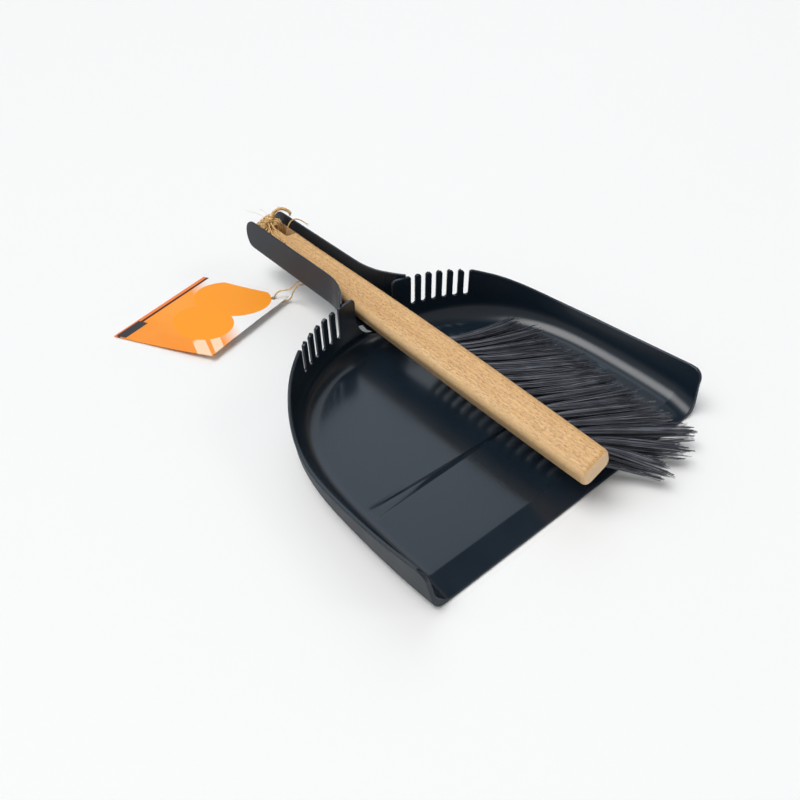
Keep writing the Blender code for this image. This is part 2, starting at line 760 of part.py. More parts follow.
def main():
    global parts, cutters
    clear_scene()
    parts = new_collection("dust_pan_and_brush_set")
    cutters = new_collection("cutters")
    build_pan()
    build_bar()
    tips = tuft_tips()
    for column in range(TUFT_COLUMNS):
        for row in range(TUFT_ROWS):
            build_tuft(column, row, tips[column])
    tube("hanging_twine", smooth_route(twine_route(), 2.6), TWINE_RADIUS, "jute")
    build_knot()
    tube("twine_bow", smooth_route(BOW_ROUTE, 2.5), BOW_RADIUS, "jute")
    tube("twine_tail", smooth_route(TAIL_ROUTE, 1.8), TAIL_RADIUS, "jute")
    tube("card_string", smooth_route(STRING_ROUTE, 2.4), STRING_RADIUS, "jute")
    build_card()


main()
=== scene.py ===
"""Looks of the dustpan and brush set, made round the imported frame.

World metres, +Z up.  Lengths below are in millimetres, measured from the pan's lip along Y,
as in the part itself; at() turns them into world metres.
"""
import bisect
import math
import random

import bmesh
import bpy
from mathutils import Euler, Matrix, Vector


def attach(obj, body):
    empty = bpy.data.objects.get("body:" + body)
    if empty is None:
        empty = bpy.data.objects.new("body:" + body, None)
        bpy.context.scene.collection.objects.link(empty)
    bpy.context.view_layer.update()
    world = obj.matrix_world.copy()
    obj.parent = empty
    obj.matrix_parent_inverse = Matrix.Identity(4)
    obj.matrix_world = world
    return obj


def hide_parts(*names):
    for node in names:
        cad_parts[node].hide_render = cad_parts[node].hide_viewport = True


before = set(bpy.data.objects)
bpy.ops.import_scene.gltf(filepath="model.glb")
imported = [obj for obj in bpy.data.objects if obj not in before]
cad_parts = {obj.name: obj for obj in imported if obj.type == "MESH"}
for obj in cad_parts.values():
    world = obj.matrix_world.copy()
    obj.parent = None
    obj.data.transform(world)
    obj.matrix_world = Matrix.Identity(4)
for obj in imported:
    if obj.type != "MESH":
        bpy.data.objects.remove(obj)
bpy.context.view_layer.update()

MM = 0.001
LIP_Y = -94.0

# ---- pan: the part's own dimensions ----------------------
HALF_WIDTH = 116.7
WIDEST_Y = 54.5
BACK_REACH = 135.0
FRONT_TOE_IN = 2.1
WALL = 2.2
DRAFT = 0.7                  # how much thicker the wall is where the fillet starts
FLOOR_TOP = 5.2
FLOOR_UNDER = 3.0
LIP_TOP = 1.5
LIP_BOTTOM = 0.3
RAMP_LENGTH = 14.5
FILLET = 14.0
OUTER_ROUND = 9.0
OUTER_INSET = 1.2
RIM_FLARE = 2.3
FLARE_GONE_Y = 150.0
FLARE_FADE = 60.0
FOOT_INSET = 11.4
SIDE_HEIGHT = 24.1
BACK_RISE = 22.0
FRONT_RISE = 5.6
BACK_RISE_FROM = 89.0        # the rim rises to the back from here
BACK_RISE_RUN = 101.5
FRONT_RISE_FROM = 85.0       # and to the lip from here
FRONT_RISE_RUN = 77.0
TOE_IN_RUN = 47.0            # the sides close in over this length in front of the widest place
SLOTS = 6
SLOT_PITCH = 8.2
FIRST_SLOT_ARC = 33.6
SLOT_WIDTH = 3.5
SLOT_BOTTOM = 23.4
TOOTH_ROUND = 2.1
NOTCH_HALF = 16.5
NOTCH_SHOULDER = 34.0
NOTCH_BOTTOM = 12.3
TAB_ROUND = 3.0
EDGE_ROUND = 0.55            # rounding of the moulding's free edges
EDGE_STEPS = 3
SPLIT_Z = 11.0               # the wall above and the base below are built apart
PLATE_HALF = 1.1             # half thickness of the flat plate that is bent into the wall
FRONT_LEAN = 3.4             # how far the side walls' front edge leans back
LEAN_REACH = 24.0
FRONT_CORNER = 8.0
CORNER_HEIGHT = 7.0
STATION = 4.0                # spacing of the sections round the wall
FLOOR_COLUMNS = 14
GROOVE_REACH = 0.98          # share of the floor's half width that the cross groove covers
GROOVE_ROWS = ((59.8, 2.9, 0.0), (60.9, 2.4, 0.8), (63.75, 0.0, 0.1), (66.5, -2.3, 0.8),
               (67.6, -2.8, 0.0))    # (y at the wall, shift at the middle, depth)
RIB_HALF = 5.0
RIB_REACH = 80.0
RIB_FRONT = -72.0
RIB_BACK = 74.0
RIB_HEIGHT = 3.3

HANDLE_START = 185.8
HANDLE_END = 331.0
CHEEK_TOP = 47.7
CHANNEL_HALF = 12.25
CHEEK = 1.6
CHEEK_EDGE = 0.5
CHANNEL_FLOOR = 23.4
CHANNEL_CORNER = 3.0
SWING_FROM = 227.0
SWING_RUN = 40.4
SWING_WIDTH = 14.35
DIP_FROM = 262.0
DIP_RUN = 74.0
DIP_DEPTH = 10.4
END_ROUND = 12.5
FOLLOW_FROM = 206.0          # in front of this the channel's end bends to the pan's wall
FOLLOW_RUN = 20.2
MEETING_Y = 187.0
TIE_HOLE_Y = 262.0
TIE_HOLE_ROUND = 4.0         # radius of both its ends, which stand as far apart again

# ---- brush -----------------------------------------------
BAR_START = -4.5
BAR_LENGTH = 324.0
BAR_WIDE = 23.9
BAR_THICK = 17.6
BAR_ROUND = 5.9
BAR_TAPER = 0.10
BAR_SWELL_Y = 130.0
BAR_ROLL = math.radians(22)
BAR_FRONT_Z = 28.3
BAR_BACK_Z = 35.6
HOLE_X = 3.8
HOLE_Y = 300.5
HOLE_LENGTH = 22.5
HOLE_WIDTH = 9.4
HOLE_EASE = 0.9              # width of the softened rim
TUFT_COLUMNS = 16
TUFT_ROWS = 3
SOCKET_DEPTH = 16.0
FIRST_TUFT_Y = 6.0
LAST_TUFT_Y = 132.8
STAGGER = 4.2
ROW_PITCH = 4.8
TUFT_AIM = math.radians(-28)
ROOT_DEPTH = 4.2
SOCKET_RADIUS = 1.8
TIP_HEIGHTS = (7.9, 11.1, 14.3)
TIP_LINE = ((44, -23.5), (62, -21), (79, -16.5), (80, -4), (82, 12), (84, 30), (85.5, 54),
            (86, 80), (87.5, 103), (88.5, 119), (84, 131))
FILAMENTS = 46               # a tuft
FILAMENT_RADIUS = 0.27
CLUMPS = 6
HAIR_SECTION = [(math.cos(turn), math.sin(turn)) for turn in (0.5236, 2.618, 4.7124)]
GOLDEN_TURN = 2.39996        # spreads the filaments evenly over the tuft's section
HAIR_ROOT = 1.25             # half width of the bundle in its socket
TIP_WIDE = 5.2               # and at the tips
TIP_THICK = 1.35

# ---- twine, string and card ------------------------------
TWINE_RADIUS = 0.6
TWINE_TURNS = 4
TWINE_LOWEST = 24.75
TAIL_RADIUS = 0.5
BOW_RADIUS = 1.0
STRING_RADIUS = 0.65
KNOT_AT = (-2.7, 313.2, 48.0)
BOW_ROUTE = ((0.9, 315.0, 49.2), (4.3, 317.4, 50.4), (7.8, 315.6, 53.2), (11.0, 312.4, 53.8),
             (14.0, 309.6, 51.6), (14.6, 309.4, 49.6))
TAIL_ROUTE = ((3.0, 299.0, 33.5), (3.5, 298.4, 41.8), (5.4, 298.3, 47.2), (8.9, 298.8, 49.9),
              (12.5, 298.8, 50.1), (15.8, 297.4, 48.8), (18.4, 294.2, 46.6))
STRING_ROUTE = ((3.2, 262.0, 25.9), (2.2, 261.8, 23.0), (-2.0, 262.2, 20.1), (-8.0, 263.8, 19.8),
                (-12.1, 265.6, 19.4), (-14.0, 266.6, 17.2), (-15.2, 268.8, 14.4),
                (-15.9, 270.9, 12.2), (-19.0, 275.0, 10.5), (-22.3, 276.9, 9.5),
                (-24.8, 277.6, 7.5), (-25.5, 279.0, 4.4), (-25.2, 279.6, 2.4),
                (-24.0, 277.6, 1.3), (-22.6, 273.8, 1.9), (-18.9, 272.1, 2.6),
                (-16.2, 271.3, 3.4), (-15.0, 270.5, 5.2), (-13.7, 269.7, 9.0),
                (-12.2, 266.3, 14.5), (-10.6, 264.4, 16.8), (-6.5, 260.9, 17.8),
                (-3.4, 258.9, 18.8), (-1.6, 258.3, 21.0), (-1.2, 258.6, 24.6))
CARD_CORNERS = ((-138.8, 315.4, 0.7), (-49.9, 346.5, 0.7), (-97.7, 244.5, 4.6),
                (-16.2, 273.0, 5.0))
CARD_HOLE = (-25.2, 279.2, 4.0)
CARD_GRID = (28, 24)         # squares across and along the card
CARD_PUNCH = 2.6             # radius of its punched hole
CARD_THICK = 0.5
# where each strand fanned out from the knot ends, and how far it hangs past the bar's edge
FAN_ENDS = (((-10.2, 322, 38), 5), ((-10.8, 316, 38.5), 5), ((-10.2, 310, 40), 4),
            ((-8.8, 304.5, 41), 2), ((-2.2, 306.5, 43.5), 0), ((1.2, 308.6, 45), 0),
            ((-6, 325.2, 40), 6), ((-2.5, 325.4, 41), 6), ((1.2, 325.4, 42), 6),
            ((4.6, 325.2, 43), 6), ((8, 322.5, 46), 4), ((-10.6, 319, 38), 5),
            ((-7.5, 323.8, 39), 5))
LONG_LOOP = ((-3.4, 312.4, 47.2), (-6.2, 305.5, 43.9), (-8.4, 295.0, 42.3), (-7.9, 286.2, 41.9),
             (-6.7, 286.6, 42.3), (-5.4, 297.0, 43.6), (-3.0, 305.5, 45.2), (-2.4, 311.8, 47.2))
LOOSE_FIBRES = (((-3.5, 314, 49.5), (-7, 321, 52), (-12, 330, 53)),
                ((-2.0, 315, 49.5), (-1.0, 321, 52), (-3, 325, 53)),
                ((-1.5, 312.5, 49.5), (3.0, 311.5, 52.5), (5.5, 312.0, 53.5)))
# stripes: a point and the direction of their edge, then their span to the left of it
STRIPES = (((-98.9, 272.4), (4.4, 16.6), -8.5, 0.0), ((-89.3, 262.4), (3.5, 11.6), -7.0, 0.0))
# ovals: centre, half length, half width and the length's angle in degrees
OVALS = (((-49.1, 301.6), 32.4, 23.2, 114.7), ((-81.8, 287.3), 26.4, 19.7, 97.9))

# ---- camera, in world metres -----------------------------
CAMERA_PLACE = Vector((-0.2464, -0.2260, 0.3041))
CAMERA_AIM = Vector((-0.0243, 0.0361, 0.0))
CAMERA_ROLL = math.radians(0.27)
CAMERA_LENS = 31.63          # mm, on a 36 mm sensor

chance = random.Random(7)


# ---- helpers ---------------------------------------------
def at(x, y, z):
    return Vector((x, y + LIP_Y, z)) * MM


def turns(count, whole=math.pi / 2):
    """Even angles from nothing to a whole turn, both ends counted."""
    return [whole * k / count for k in range(count + 1)]


def quads(bm, rows, skip=()):
    """Faces between neighbouring rows of points, but for the strips named in skip."""
    for a, b in zip(rows, rows[1:]):
        for k in range(len(a) - 1):
            if k not in skip:
                bm.faces.new((a[k], a[k + 1], b[k + 1], b[k]))


def circle(count):
    """Even points round a circle of radius 1."""
    return [(math.cos(2 * math.pi * k / count), math.sin(2 * math.pi * k / count))
            for k in range(count)]


def add_piece(name, mesh, body, slot, stuff, *nodes):
    """A visible piece that rides on a body and stands for CAD nodes."""
    piece = bpy.data.objects.new(name, mesh)
    bpy.context.scene.collection.objects.link(piece)
    mesh.materials.clear()
    mesh.materials.append(stuff)
    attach(piece, body)
    if nodes:
        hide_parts(*nodes)
    return piece


def to_mesh(name, bm):
    mesh = bpy.data.meshes.new(name)
    bm.to_mesh(mesh)
    bm.free()
    mesh.shade_smooth()
    return mesh


def flat_plate(outline, half_thick, edge_round, holes=()):
    """A flat plate in mm with rounded edges: a filled curve with a bevel, as a bmesh."""
    curve = bpy.data.curves.new("plate", "CURVE")
    curve.dimensions = "2D"
    curve.fill_mode = "BOTH"
    curve.extrude = half_thick - edge_round
    curve.bevel_depth = edge_round
    curve.bevel_resolution = EDGE_STEPS - 1
    curve.offset = -edge_round
    for ring in (outline, *holes):
        spline = curve.splines.new("POLY")
        spline.points.add(len(ring) - 1)
        for point, (a, b) in zip(spline.points, ring):
            point.co = (a, b, 0, 1)
        spline.use_cyclic_u = True
    item = bpy.data.objects.new("plate", curve)
    bpy.context.scene.collection.objects.link(item)
    bpy.context.view_layer.update()
    seen = item.evaluated_get(bpy.context.evaluated_depsgraph_get())
    mesh = bpy.data.meshes.new_from_object(seen)
    bpy.data.objects.remove(item, do_unlink=True)
    bpy.data.curves.remove(curve)
    bm = bmesh.new()
    bm.from_mesh(mesh)
    bpy.data.meshes.remove(mesh)
    bmesh.ops.remove_doubles(bm, verts=bm.verts, dist=1e-4)
    bmesh.ops.dissolve_limit(bm, angle_limit=0.001, verts=bm.verts, edges=bm.edges)
    return bm


def slice_plate(bm, cuts, axis):
    """Cuts a flat plate across at each value along an axis, so that it can be bent."""
    normal = Vector((0, 0, 0))
    normal[axis] = 1
    for value in cuts:
        bmesh.ops.bisect_plane(bm, geom=bm.verts[:] + bm.edges[:] + bm.faces[:], dist=1e-5,
                               plane_co=normal * value, plane_no=normal)


def smooth_route(points, step):
    """Points every `step` mm along a Catmull-Rom curve through `points`."""
    knots = [Vector(p) for p in points]
    knots = [knots[0] * 2 - knots[1]] + knots + [knots[-1] * 2 - knots[-2]]
    fine = []
    for a, b, c, d in zip(knots, knots[1:], knots[2:], knots[3:]):
        for k in range(16):
            t = k / 16
            fine.append(0.5 * (2 * b + (c - a) * t + (2 * a - 5 * b + 4 * c - d) * t * t
                               + (3 * b - a - 3 * c + d) * t ** 3))
    fine.append(knots[-2])
    return spaced(fine, step)


def spaced(fine, step):
    """Even points along a fine polyline; both ends are kept."""
    total = sum((b - a).length for a, b in zip(fine, fine[1:]))
    gap = total / max(1, round(total / step))
    out = [fine[0]]
    walked = 0.0
    for a, b in zip(fine, fine[1:]):
        length = (b - a).length
        while walked + length >= gap * len(out) and len(out) * gap < total - gap / 2:
            out.append(a.lerp(b, (gap * len(out) - walked) / length))
        walked += length
    return out + [fine[-1]]


# ---- materials -------------------------------------------
class Nodes:
    """Short calls for adding nodes to a tree."""

    def __init__(self, tree):
        self.tree = tree

    def add(self, kind, settings=None, **inputs):
        made = self.tree.nodes.new("ShaderNode" + kind)
        for key, value in (settings or {}).items():
            setattr(made, key, value)
        for key, value in inputs.items():
            self.put(made.inputs[int(key[1:]) if key[0] == "i" and key[1:].isdigit()
                                 else key.replace("_", " ")], value)
        return made

    def put(self, socket, value):
        if isinstance(value, bpy.types.NodeSocket):
            self.tree.links.new(value, socket)
        else:
            socket.default_value = value

    def math(self, operation, a, b=0.0):
        return self.add("Math", {"operation": operation}, i0=a, i1=b).outputs[0]

    def dot(self, vector, axis):
        return self.add("VectorMath", {"operation": "DOT_PRODUCT"}, i0=vector,
                        i1=axis).outputs["Value"]

    def place(self, scale):
        """Object coordinates stretched by a scale along each axis."""
        where = self.add("TexCoord").outputs["Object"]
        return self.add("Mapping", Vector=where, Scale=scale).outputs[0]

    def noise(self, vector, scale, detail=3.0, rough=0.55, distortion=0.0):
        made = self.add("TexNoise", Vector=vector, Scale=scale, Detail=detail, Roughness=rough,
                        Distortion=distortion)
        return made.outputs["Fac"]

    def ramp(self, value, *stops):
        made = self.add("ValToRGB", Fac=value)
        elements = made.color_ramp.elements
        while len(elements) < len(stops):
            elements.new(0.5)
        for element, (position, colour) in zip(elements, stops):
            element.position = position
            element.color = (*colour, 1)
        return made.outputs["Color"]

    def span(self, value, low, high, new_low=0.0, new_high=1.0):
        return self.add("MapRange", i0=value, i1=low, i2=high, i3=new_low,
                        i4=new_high).outputs[0]

    def mix(self, fac, a, b, blend="MIX"):
        made = self.add("Mix", {"data_type": "RGBA", "blend_type": blend})
        self.put(made.inputs[0], fac)
        self.put(made.inputs[6], a)
        self.put(made.inputs[7], b)
        return made.outputs[2]


class Look(Nodes):
    """A Principled material."""

    def __init__(self, name, colour, roughness):
        self.material = bpy.data.materials.new(name)
        self.material.use_nodes = True
        super().__init__(self.material.node_tree)
        self.shader = self.tree.nodes["Principled BSDF"]
        self.shader.inputs["Base Color"].default_value = (*colour, 1)
        self.shader.inputs["Roughness"].default_value = roughness

    def colour(self, value):
        self.put(self.shader.inputs["Base Color"], value)

    def rough(self, value):
        self.put(self.shader.inputs["Roughness"], value)

    def bump(self, height, strength, distance):
        made = self.add("Bump", Height=height, Strength=strength, Distance=distance)
        self.put(self.shader.inputs["Normal"], made.outputs[0])


def pan_look():
    """Glossy moulded plastic, almost clean: faint flow in the gloss and a few pale specks painted
    in as glints.
    """
    look = Look("pan_plastic", (0.0085, 0.0165, 0.0265), 0.2)
    where = look.place((1, 1, 1))
    cloud = look.noise(where, 22, 2)
    gloss = look.span(cloud, 0.3, 0.7, 0.17, 0.25)
    along = look.dot(where, (0, 1, 0))
    outward = look.dot(look.add("TexCoord").outputs["Normal"], look.place((1, 1, 0)))
    outer = look.span(outward, 0.02, 0.05, 0.0, 0.38)
    handle = look.span(along, 0.100, 0.125, 0.0, 0.38)
    look.rough(look.math("ADD", gloss, look.math("MAXIMUM", outer, handle)))
    # Painted glints: a few scattered pale specks in the colour stand in for small highlights on
    # the surface.
    specks = look.add("TexVoronoi", {"feature": "F1"}, Vector=where, Scale=95,
                      Randomness=1.0).outputs["Distance"]
    few = look.noise(where, 31, 0)
    painted_glints = look.math("MULTIPLY", look.math("LESS_THAN", specks, 0.035),
                     look.math("GREATER_THAN", few, 0.6))
    tint = look.mix(look.span(cloud, 0.35, 0.65), (0.0078, 0.0152, 0.0245, 1),
                    (0.0092, 0.0178, 0.0285, 1))
    look.colour(look.mix(painted_glints, tint, (0.22, 0.24, 0.26, 1)))
    look.bump(look.noise(where, 260, 1), 0.03, 0.0004)
    return look.material


def beech_look():
    """Sanded beech: growth bands along the bar, dense fine pores and short ray flecks; the front
    end face and the side facing -X get painted light.
    """
    look = Look("beech", (0.62, 0.38, 0.17), 0.46)
    tone = look.noise(look.place((48, 3.5, 48)), 1.0, 3, 0.55, 0.8)
    warp = look.noise(look.place((30, 5, 30)), 1.0, 2)
    bands = look.add("TexWave", {"wave_type": "BANDS", "bands_direction": "X"},
                     Vector=look.place((1, 0.10, 0.75)), Scale=150, Distortion=7.0, Detail=2,
                     Detail_Scale=0.5, Detail_Roughness=0.5).outputs["Fac"]
    grain = look.noise(look.place((1700, 60, 1700)), 1.0, 3, 0.6)
    pores = look.noise(look.place((2600, 300, 2600)), 1.0, 1, 0.4)
    flecks = look.noise(look.place((2500, 400, 2500)), 1.0, 1, 0.4)
    base = look.ramp(tone, (0.3, (0.70, 0.42, 0.165)), (0.5, (0.77, 0.48, 0.205)),
                     (0.72, (0.84, 0.56, 0.27)))
    base = look.mix(look.span(bands, 0.35, 1.0, 0.0, 0.30), base, (0.50, 0.262, 0.09, 1))
    base = look.mix(look.span(grain, 0.40, 0.66, 0.38, 0.0), base, (0.45, 0.22, 0.07, 1))
    dense = look.math("MULTIPLY", look.span(pores, 0.555, 0.64),
                      look.span(warp, 0.3, 0.6, 0.45, 0.8))
    base = look.mix(dense, base, (0.33, 0.155, 0.05, 1))
    base = look.mix(look.span(flecks, 0.63, 0.69, 0.0, 0.75), base, (0.27, 0.11, 0.03, 1))
    # Painted light: the bar's front end face is mixed towards a paler tone, as if more light falls
    # on it.
    end = look.span(look.dot(look.place((1, 1, 1)), (0, 1, 0)), -0.0982, -0.0974, 0.6, 0.0)
    base = look.mix(end, base, (0.92, 0.68, 0.43, 1))
    # Painted light: faces turned towards -X are mixed towards a pale tone, a painted fill light on
    # the bar's left side.
    left = look.dot(look.add("TexCoord").outputs["Normal"], (-1, 0, 0))
    look.colour(look.mix(look.span(left, 0.45, 0.9, 0.0, 0.45), base, (0.97, 0.70, 0.40, 1)))
    look.rough(look.span(grain, 0.3, 0.7, 0.55, 0.40))
    look.bump(grain, 0.18, 0.0004)
    return look.material


def bristle_look():
    """Black synthetic filament: each one its own shade from black to pale grey, the pale ones
    painted highlights, with a satin streak along it.
    """
    look = Look("bristle", (0.045, 0.045, 0.055), 0.36)
    single = look.add("NewGeometry").outputs["Random Per Island"]
    # Each filament gets a random tone; the pale end of this ramp is painted highlight, standing in
    # for the light streaks along the tufts.
    shade = look.ramp(single, (0.0, (0.020, 0.023, 0.032)), (0.5, (0.10, 0.11, 0.135)),
                      (0.82, (0.23, 0.24, 0.275)), (1.0, (0.46, 0.46, 0.50)))
    patch = look.noise(look.place((60, 60, 60)), 1.0, 1)
    look.colour(look.mix(look.span(patch, 0.4, 0.65, 0.0, 0.4), shade, (0.012, 0.012, 0.017, 1)))
    look.rough(look.span(single, 0.0, 1.0, 0.45, 0.3))
    return look.material


def jute_look():
    """Natural twine: pale and dark patches under fine fibres."""
    dark, mid, light = (0.58, 0.30, 0.08), (0.80, 0.52, 0.20), (0.95, 0.74, 0.40)
    look = Look("jute", mid, 0.85)
    where = look.place((1, 1, 1))
    fibre = look.noise(where, 2600, 3, 0.7)
    patch = look.noise(where, 380, 2)
    tone = look.mix(look.span(patch, 0.35, 0.65), (*dark, 1), (*light, 1))
    look.colour(look.mix(look.span(fibre, 0.3, 0.7, 0.75, 0.0), tone, (*mid, 1)))
    look.rough(look.span(fibre, 0.3, 0.7, 0.95, 0.75))
    look.bump(fibre, 0.6, 0.0003)
    return look.material


# ---- pan -------------------------------------------------
def half_width(y):
    """Half the outline's width at a distance from the lip."""
    if y < WIDEST_Y:
        return HALF_WIDTH - FRONT_TOE_IN * ((WIDEST_Y - y) / TOE_IN_RUN) ** 2
    u = min(1.0, (y - WIDEST_Y) / BACK_REACH)
    return HALF_WIDTH * math.sqrt(1 - u ** 3)


def wall_y(x):
    """Where the outline's back stands at a distance from the middle."""
    return WIDEST_Y + BACK_REACH * (1 - (x / HALF_WIDTH) ** 2) ** (1 / 3)


def rim_height(y):
    """Height of the wall's rim: lowest at the sides, high at the back."""
    back = min(1.0, max(0.0, (y - BACK_RISE_FROM) / BACK_RISE_RUN) ** 1.25)
    front = max(0.0, (FRONT_RISE_FROM - y) / FRONT_RISE_RUN) ** 1.6
    return SIDE_HEIGHT + BACK_RISE * back * back * (3 - 2 * back) + FRONT_RISE * front


def ramp_share(y):
    return min(1.0, max(0.0, y / RAMP_LENGTH))


def floor_top(y):
    return LIP_TOP + (FLOOR_TOP - LIP_TOP) * ramp_share(y)


class Outline:
    """Half of the pan's outside outline, by arc length from the middle of the back."""

    def __init__(self):
        self.line = []
        steps = 600
        for k in range(steps + 1):
            angle = math.pi / 2 * (1 - k / steps)
            y = WIDEST_Y + BACK_REACH * math.sin(angle) ** (2 / 3)
            self.line.append(Vector((HALF_WIDTH * math.cos(angle), y)))
        self.curved = steps
        for k in range(1, 55):
            y = WIDEST_Y * (1 - k / 54)
            self.line.append(Vector((half_width(y), y)))
        self.arc = [0.0]
        for a, b in zip(self.line, self.line[1:]):
            self.arc.append(self.arc[-1] + (b - a).length)
        self.length = self.arc[-1]

    def point(self, s):
        s = min(max(s, 0.0), self.length)
        high = min(bisect.bisect_right(self.arc, s), len(self.arc) - 1)
        share = (s - self.arc[high - 1]) / (self.arc[high] - self.arc[high - 1])
        return self.line[high - 1].lerp(self.line[high], share)

    def inward(self, s):
        if s > self.arc[self.curved]:
            return Vector((-1, 0))
        if s < 0.01:
            return Vector((0, -1))
        along = (self.point(s + 1.5) - self.point(max(0.0, s - 1.5))).normalized()
        return Vector((along.y, -along.x))

    def arc_at(self, y):
        low, high = 0.0, self.length
        for _ in range(40):
            middle = (low + high) / 2
            if self.point(middle).y > y:
                low = middle
            else:
                high = middle
        return low


outline = Outline()


def lean(z):
    """How far the front edge of the side walls stands back at a height."""
    return FRONT_LEAN * min(1.0, max(0.0, (z - LIP_TOP) / 20)) ** 1.1


def rim_flare(y):
    share = min(1.0, max(0.0, (FLARE_GONE_Y - y) / FLARE_FADE))
    return RIM_FLARE * share * share * (3 - 2 * share)


def wall_depths(y, z):
    """Depth of the wall's outer and inner face behind the outline, at a height."""
    rim = rim_height(y) - DRAFT
    spring = floor_top(y) + FILLET
    out = rim_flare(y)
    outer = (OUTER_INSET + out) * min(1.0, max(0.0, (rim - z) / (rim - OUTER_ROUND))) - out
    if z >= spring:
        return outer, WALL - out + (DRAFT + out) * max(0.0, (rim - z) / (rim - spring))
    drop = min(1.0, (spring - z) / FILLET)
    return outer, WALL + DRAFT + FILLET * (1 - math.sqrt(1 - drop * drop))


def bent(s, depth, z):
    """A point of the pan from its arc length, its depth behind the outline and its height."""
    place = outline.point(abs(s)) + outline.inward(abs(s)) * depth
    y = place.y + lean(z) * max(0.0, 1 - place.y / LEAN_REACH)
    return at(math.copysign(max(place.x, 0.0), s), y, z)


def rim_line():
    """The right half of the wall's free edge, from the front corner to the notch's middle."""
    end = outline.length
    line = [(end, SPLIT_Z - 3)]
    corner_top = rim_height(FRONT_LEAN + FRONT_CORNER)
    for turn in turns(12):
        s = end - FRONT_CORNER * (1 - math.cos(turn))
        line.append((s, corner_top - CORNER_HEIGHT * (1 - math.sin(turn))))
    last_slot = FIRST_SLOT_ARC + SLOT_PITCH * (SLOTS - 1)
    run = end - FRONT_CORNER - (last_slot + 6)
    for k in range(1, int(run / STATION)):
        s = end - FRONT_CORNER - STATION * k
        line.append((s, rim_height(outline.point(s).y)))
    half = SLOT_WIDTH / 2
    for k in reversed(range(SLOTS)):
        middle = FIRST_SLOT_ARC + SLOT_PITCH * k
        rim = rim_height(outline.point(middle).y)
        mouth = []
        for turn in turns(6):
            mouth.append((half + TOOTH_ROUND * (1 - math.sin(turn)),
                          rim - TOOTH_ROUND * (1 - math.cos(turn))))
        bottom = [(half * math.cos(turn), SLOT_BOTTOM + half - half * math.sin(turn))
                  for turn in turns(10, math.pi)]
        line += [(middle + a, b) for a, b in mouth + bottom]
        line += [(middle - a, b) for a, b in reversed(mouth)]
    top = SIDE_HEIGHT + BACK_RISE
    for turn in turns(6):
        line.append((NOTCH_HALF + TAB_ROUND * (1 - math.sin(turn)),
                     top - TAB_ROUND * (1 - math.cos(turn))))
    depth = NOTCH_SHOULDER - NOTCH_BOTTOM
    for turn in turns(15):
        line.append((NOTCH_HALF * math.cos(turn), NOTCH_SHOULDER - depth * math.sin(turn)))
    return line


def edge_steps():
    """(setback from a free edge, inset of the section) of its rounding."""
    for turn in turns(EDGE_STEPS):
        yield EDGE_ROUND * (1 - math.cos(turn)), EDGE_ROUND * (1 - math.sin(turn))


def stations():
    """Arc lengths of the sections from the front edge to the back, with their inset."""
    end = outline.length
    front = [(end - back, inset) for back, inset in edge_steps()]
    wanted = [outline.arc_at(y) for y in (3, 7, 11, 14.0, 14.9, 19, 24, 30, 38, 46)]
    groove = [outline.arc_at(y) for y, _, _ in GROOVE_ROWS]
    s = outline.arc_at(54.0)
    uniform = []
    while s > 1.0:
        if all(abs(s - g) > 1.5 for g in groove) and not groove[-1] < s < groove[0]:
            uniform.append(s)
        s -= STATION
    rest = sorted(wanted + groove + uniform, reverse=True)
    return front + [(value, 0.0) for value in rest]


def base_section(s, inset):
    """(depth, height) below the split: outer face down to the foot, and floor up the fillet."""
    y = outline.point(s).y
    share = ramp_share(y)
    under = LIP_BOTTOM + (FLOOR_UNDER - LIP_BOTTOM) * share
    outer, inner = wall_depths(y, SPLIT_Z)
    edge = WALL + DRAFT + FILLET
    down = [(wall_depths(y, z)[0], z) for z in (SPLIT_Z, 10.0)]
    for turn in turns(8):
        down.append((OUTER_INSET + OUTER_ROUND * (1 - math.cos(turn)),
                     OUTER_ROUND * (1 - math.sin(turn))))
    down += [(FOOT_INSET - 0.2, 0.0), (FOOT_INSET, 0.15), (FOOT_INSET, under + 0.4 * share),
             (edge, under)]
    up = []
    spring = floor_top(y) + FILLET
    for turn in turns(9, math.acos((spring - SPLIT_Z) / FILLET)):
        up.append((edge - FILLET * math.sin(turn), spring - FILLET * math.cos(turn)))
    up[-1] = (inner, SPLIT_Z)
    if not inset:
        return down, up
    share = inset / (2 * PLATE_HALF) * (inner - outer)
    ring = [Vector(p) for p in down + up]
    moved = []
    for k, here in enumerate(ring):
        before = ring[k - 1] if k else here + Vector((0, 1))
        after = ring[k + 1] if k + 1 < len(ring) else here + Vector((0, 1))
        along = (after - before).normalized()
        moved.append(here + Vector((-along.y, along.x)) * inset)
    moved[0] = ring[0] + Vector((share, 0))
    moved[-1] = ring[-1] - Vector((share, 0))
    moved[len(down) - 1] = ring[len(down) - 1] + Vector((0, inset))
    moved[len(down)] = ring[len(down)] - Vector((0, inset))
    return moved[:len(down)], moved[len(down):]


def floor_row(s, inset, across):
    """One row of the floor's upper face between the two fillets."""
    y = outline.point(s).y
    edge = bent(s, WALL + DRAFT + FILLET, floor_top(y) - inset)
    shift, depth = 0.0, 0.0
    for row_y, middle_shift, row_depth in GROOVE_ROWS:
        if abs(row_y - y) < 0.05:
            shift, depth = middle_shift, row_depth
    row = []
    for k in range(across + 1):
        share = 2 * k / across - 1
        if k in (1, across - 1):
            share = math.copysign(GROOVE_REACH, share)
        x = edge.x * share
        moved = shift * (1 - abs(share)) * MM
        sunk = depth * MM if 0 < k < across else 0.0
        row.append(Vector((x, edge.y + moved, edge.z - sunk)))
    return row


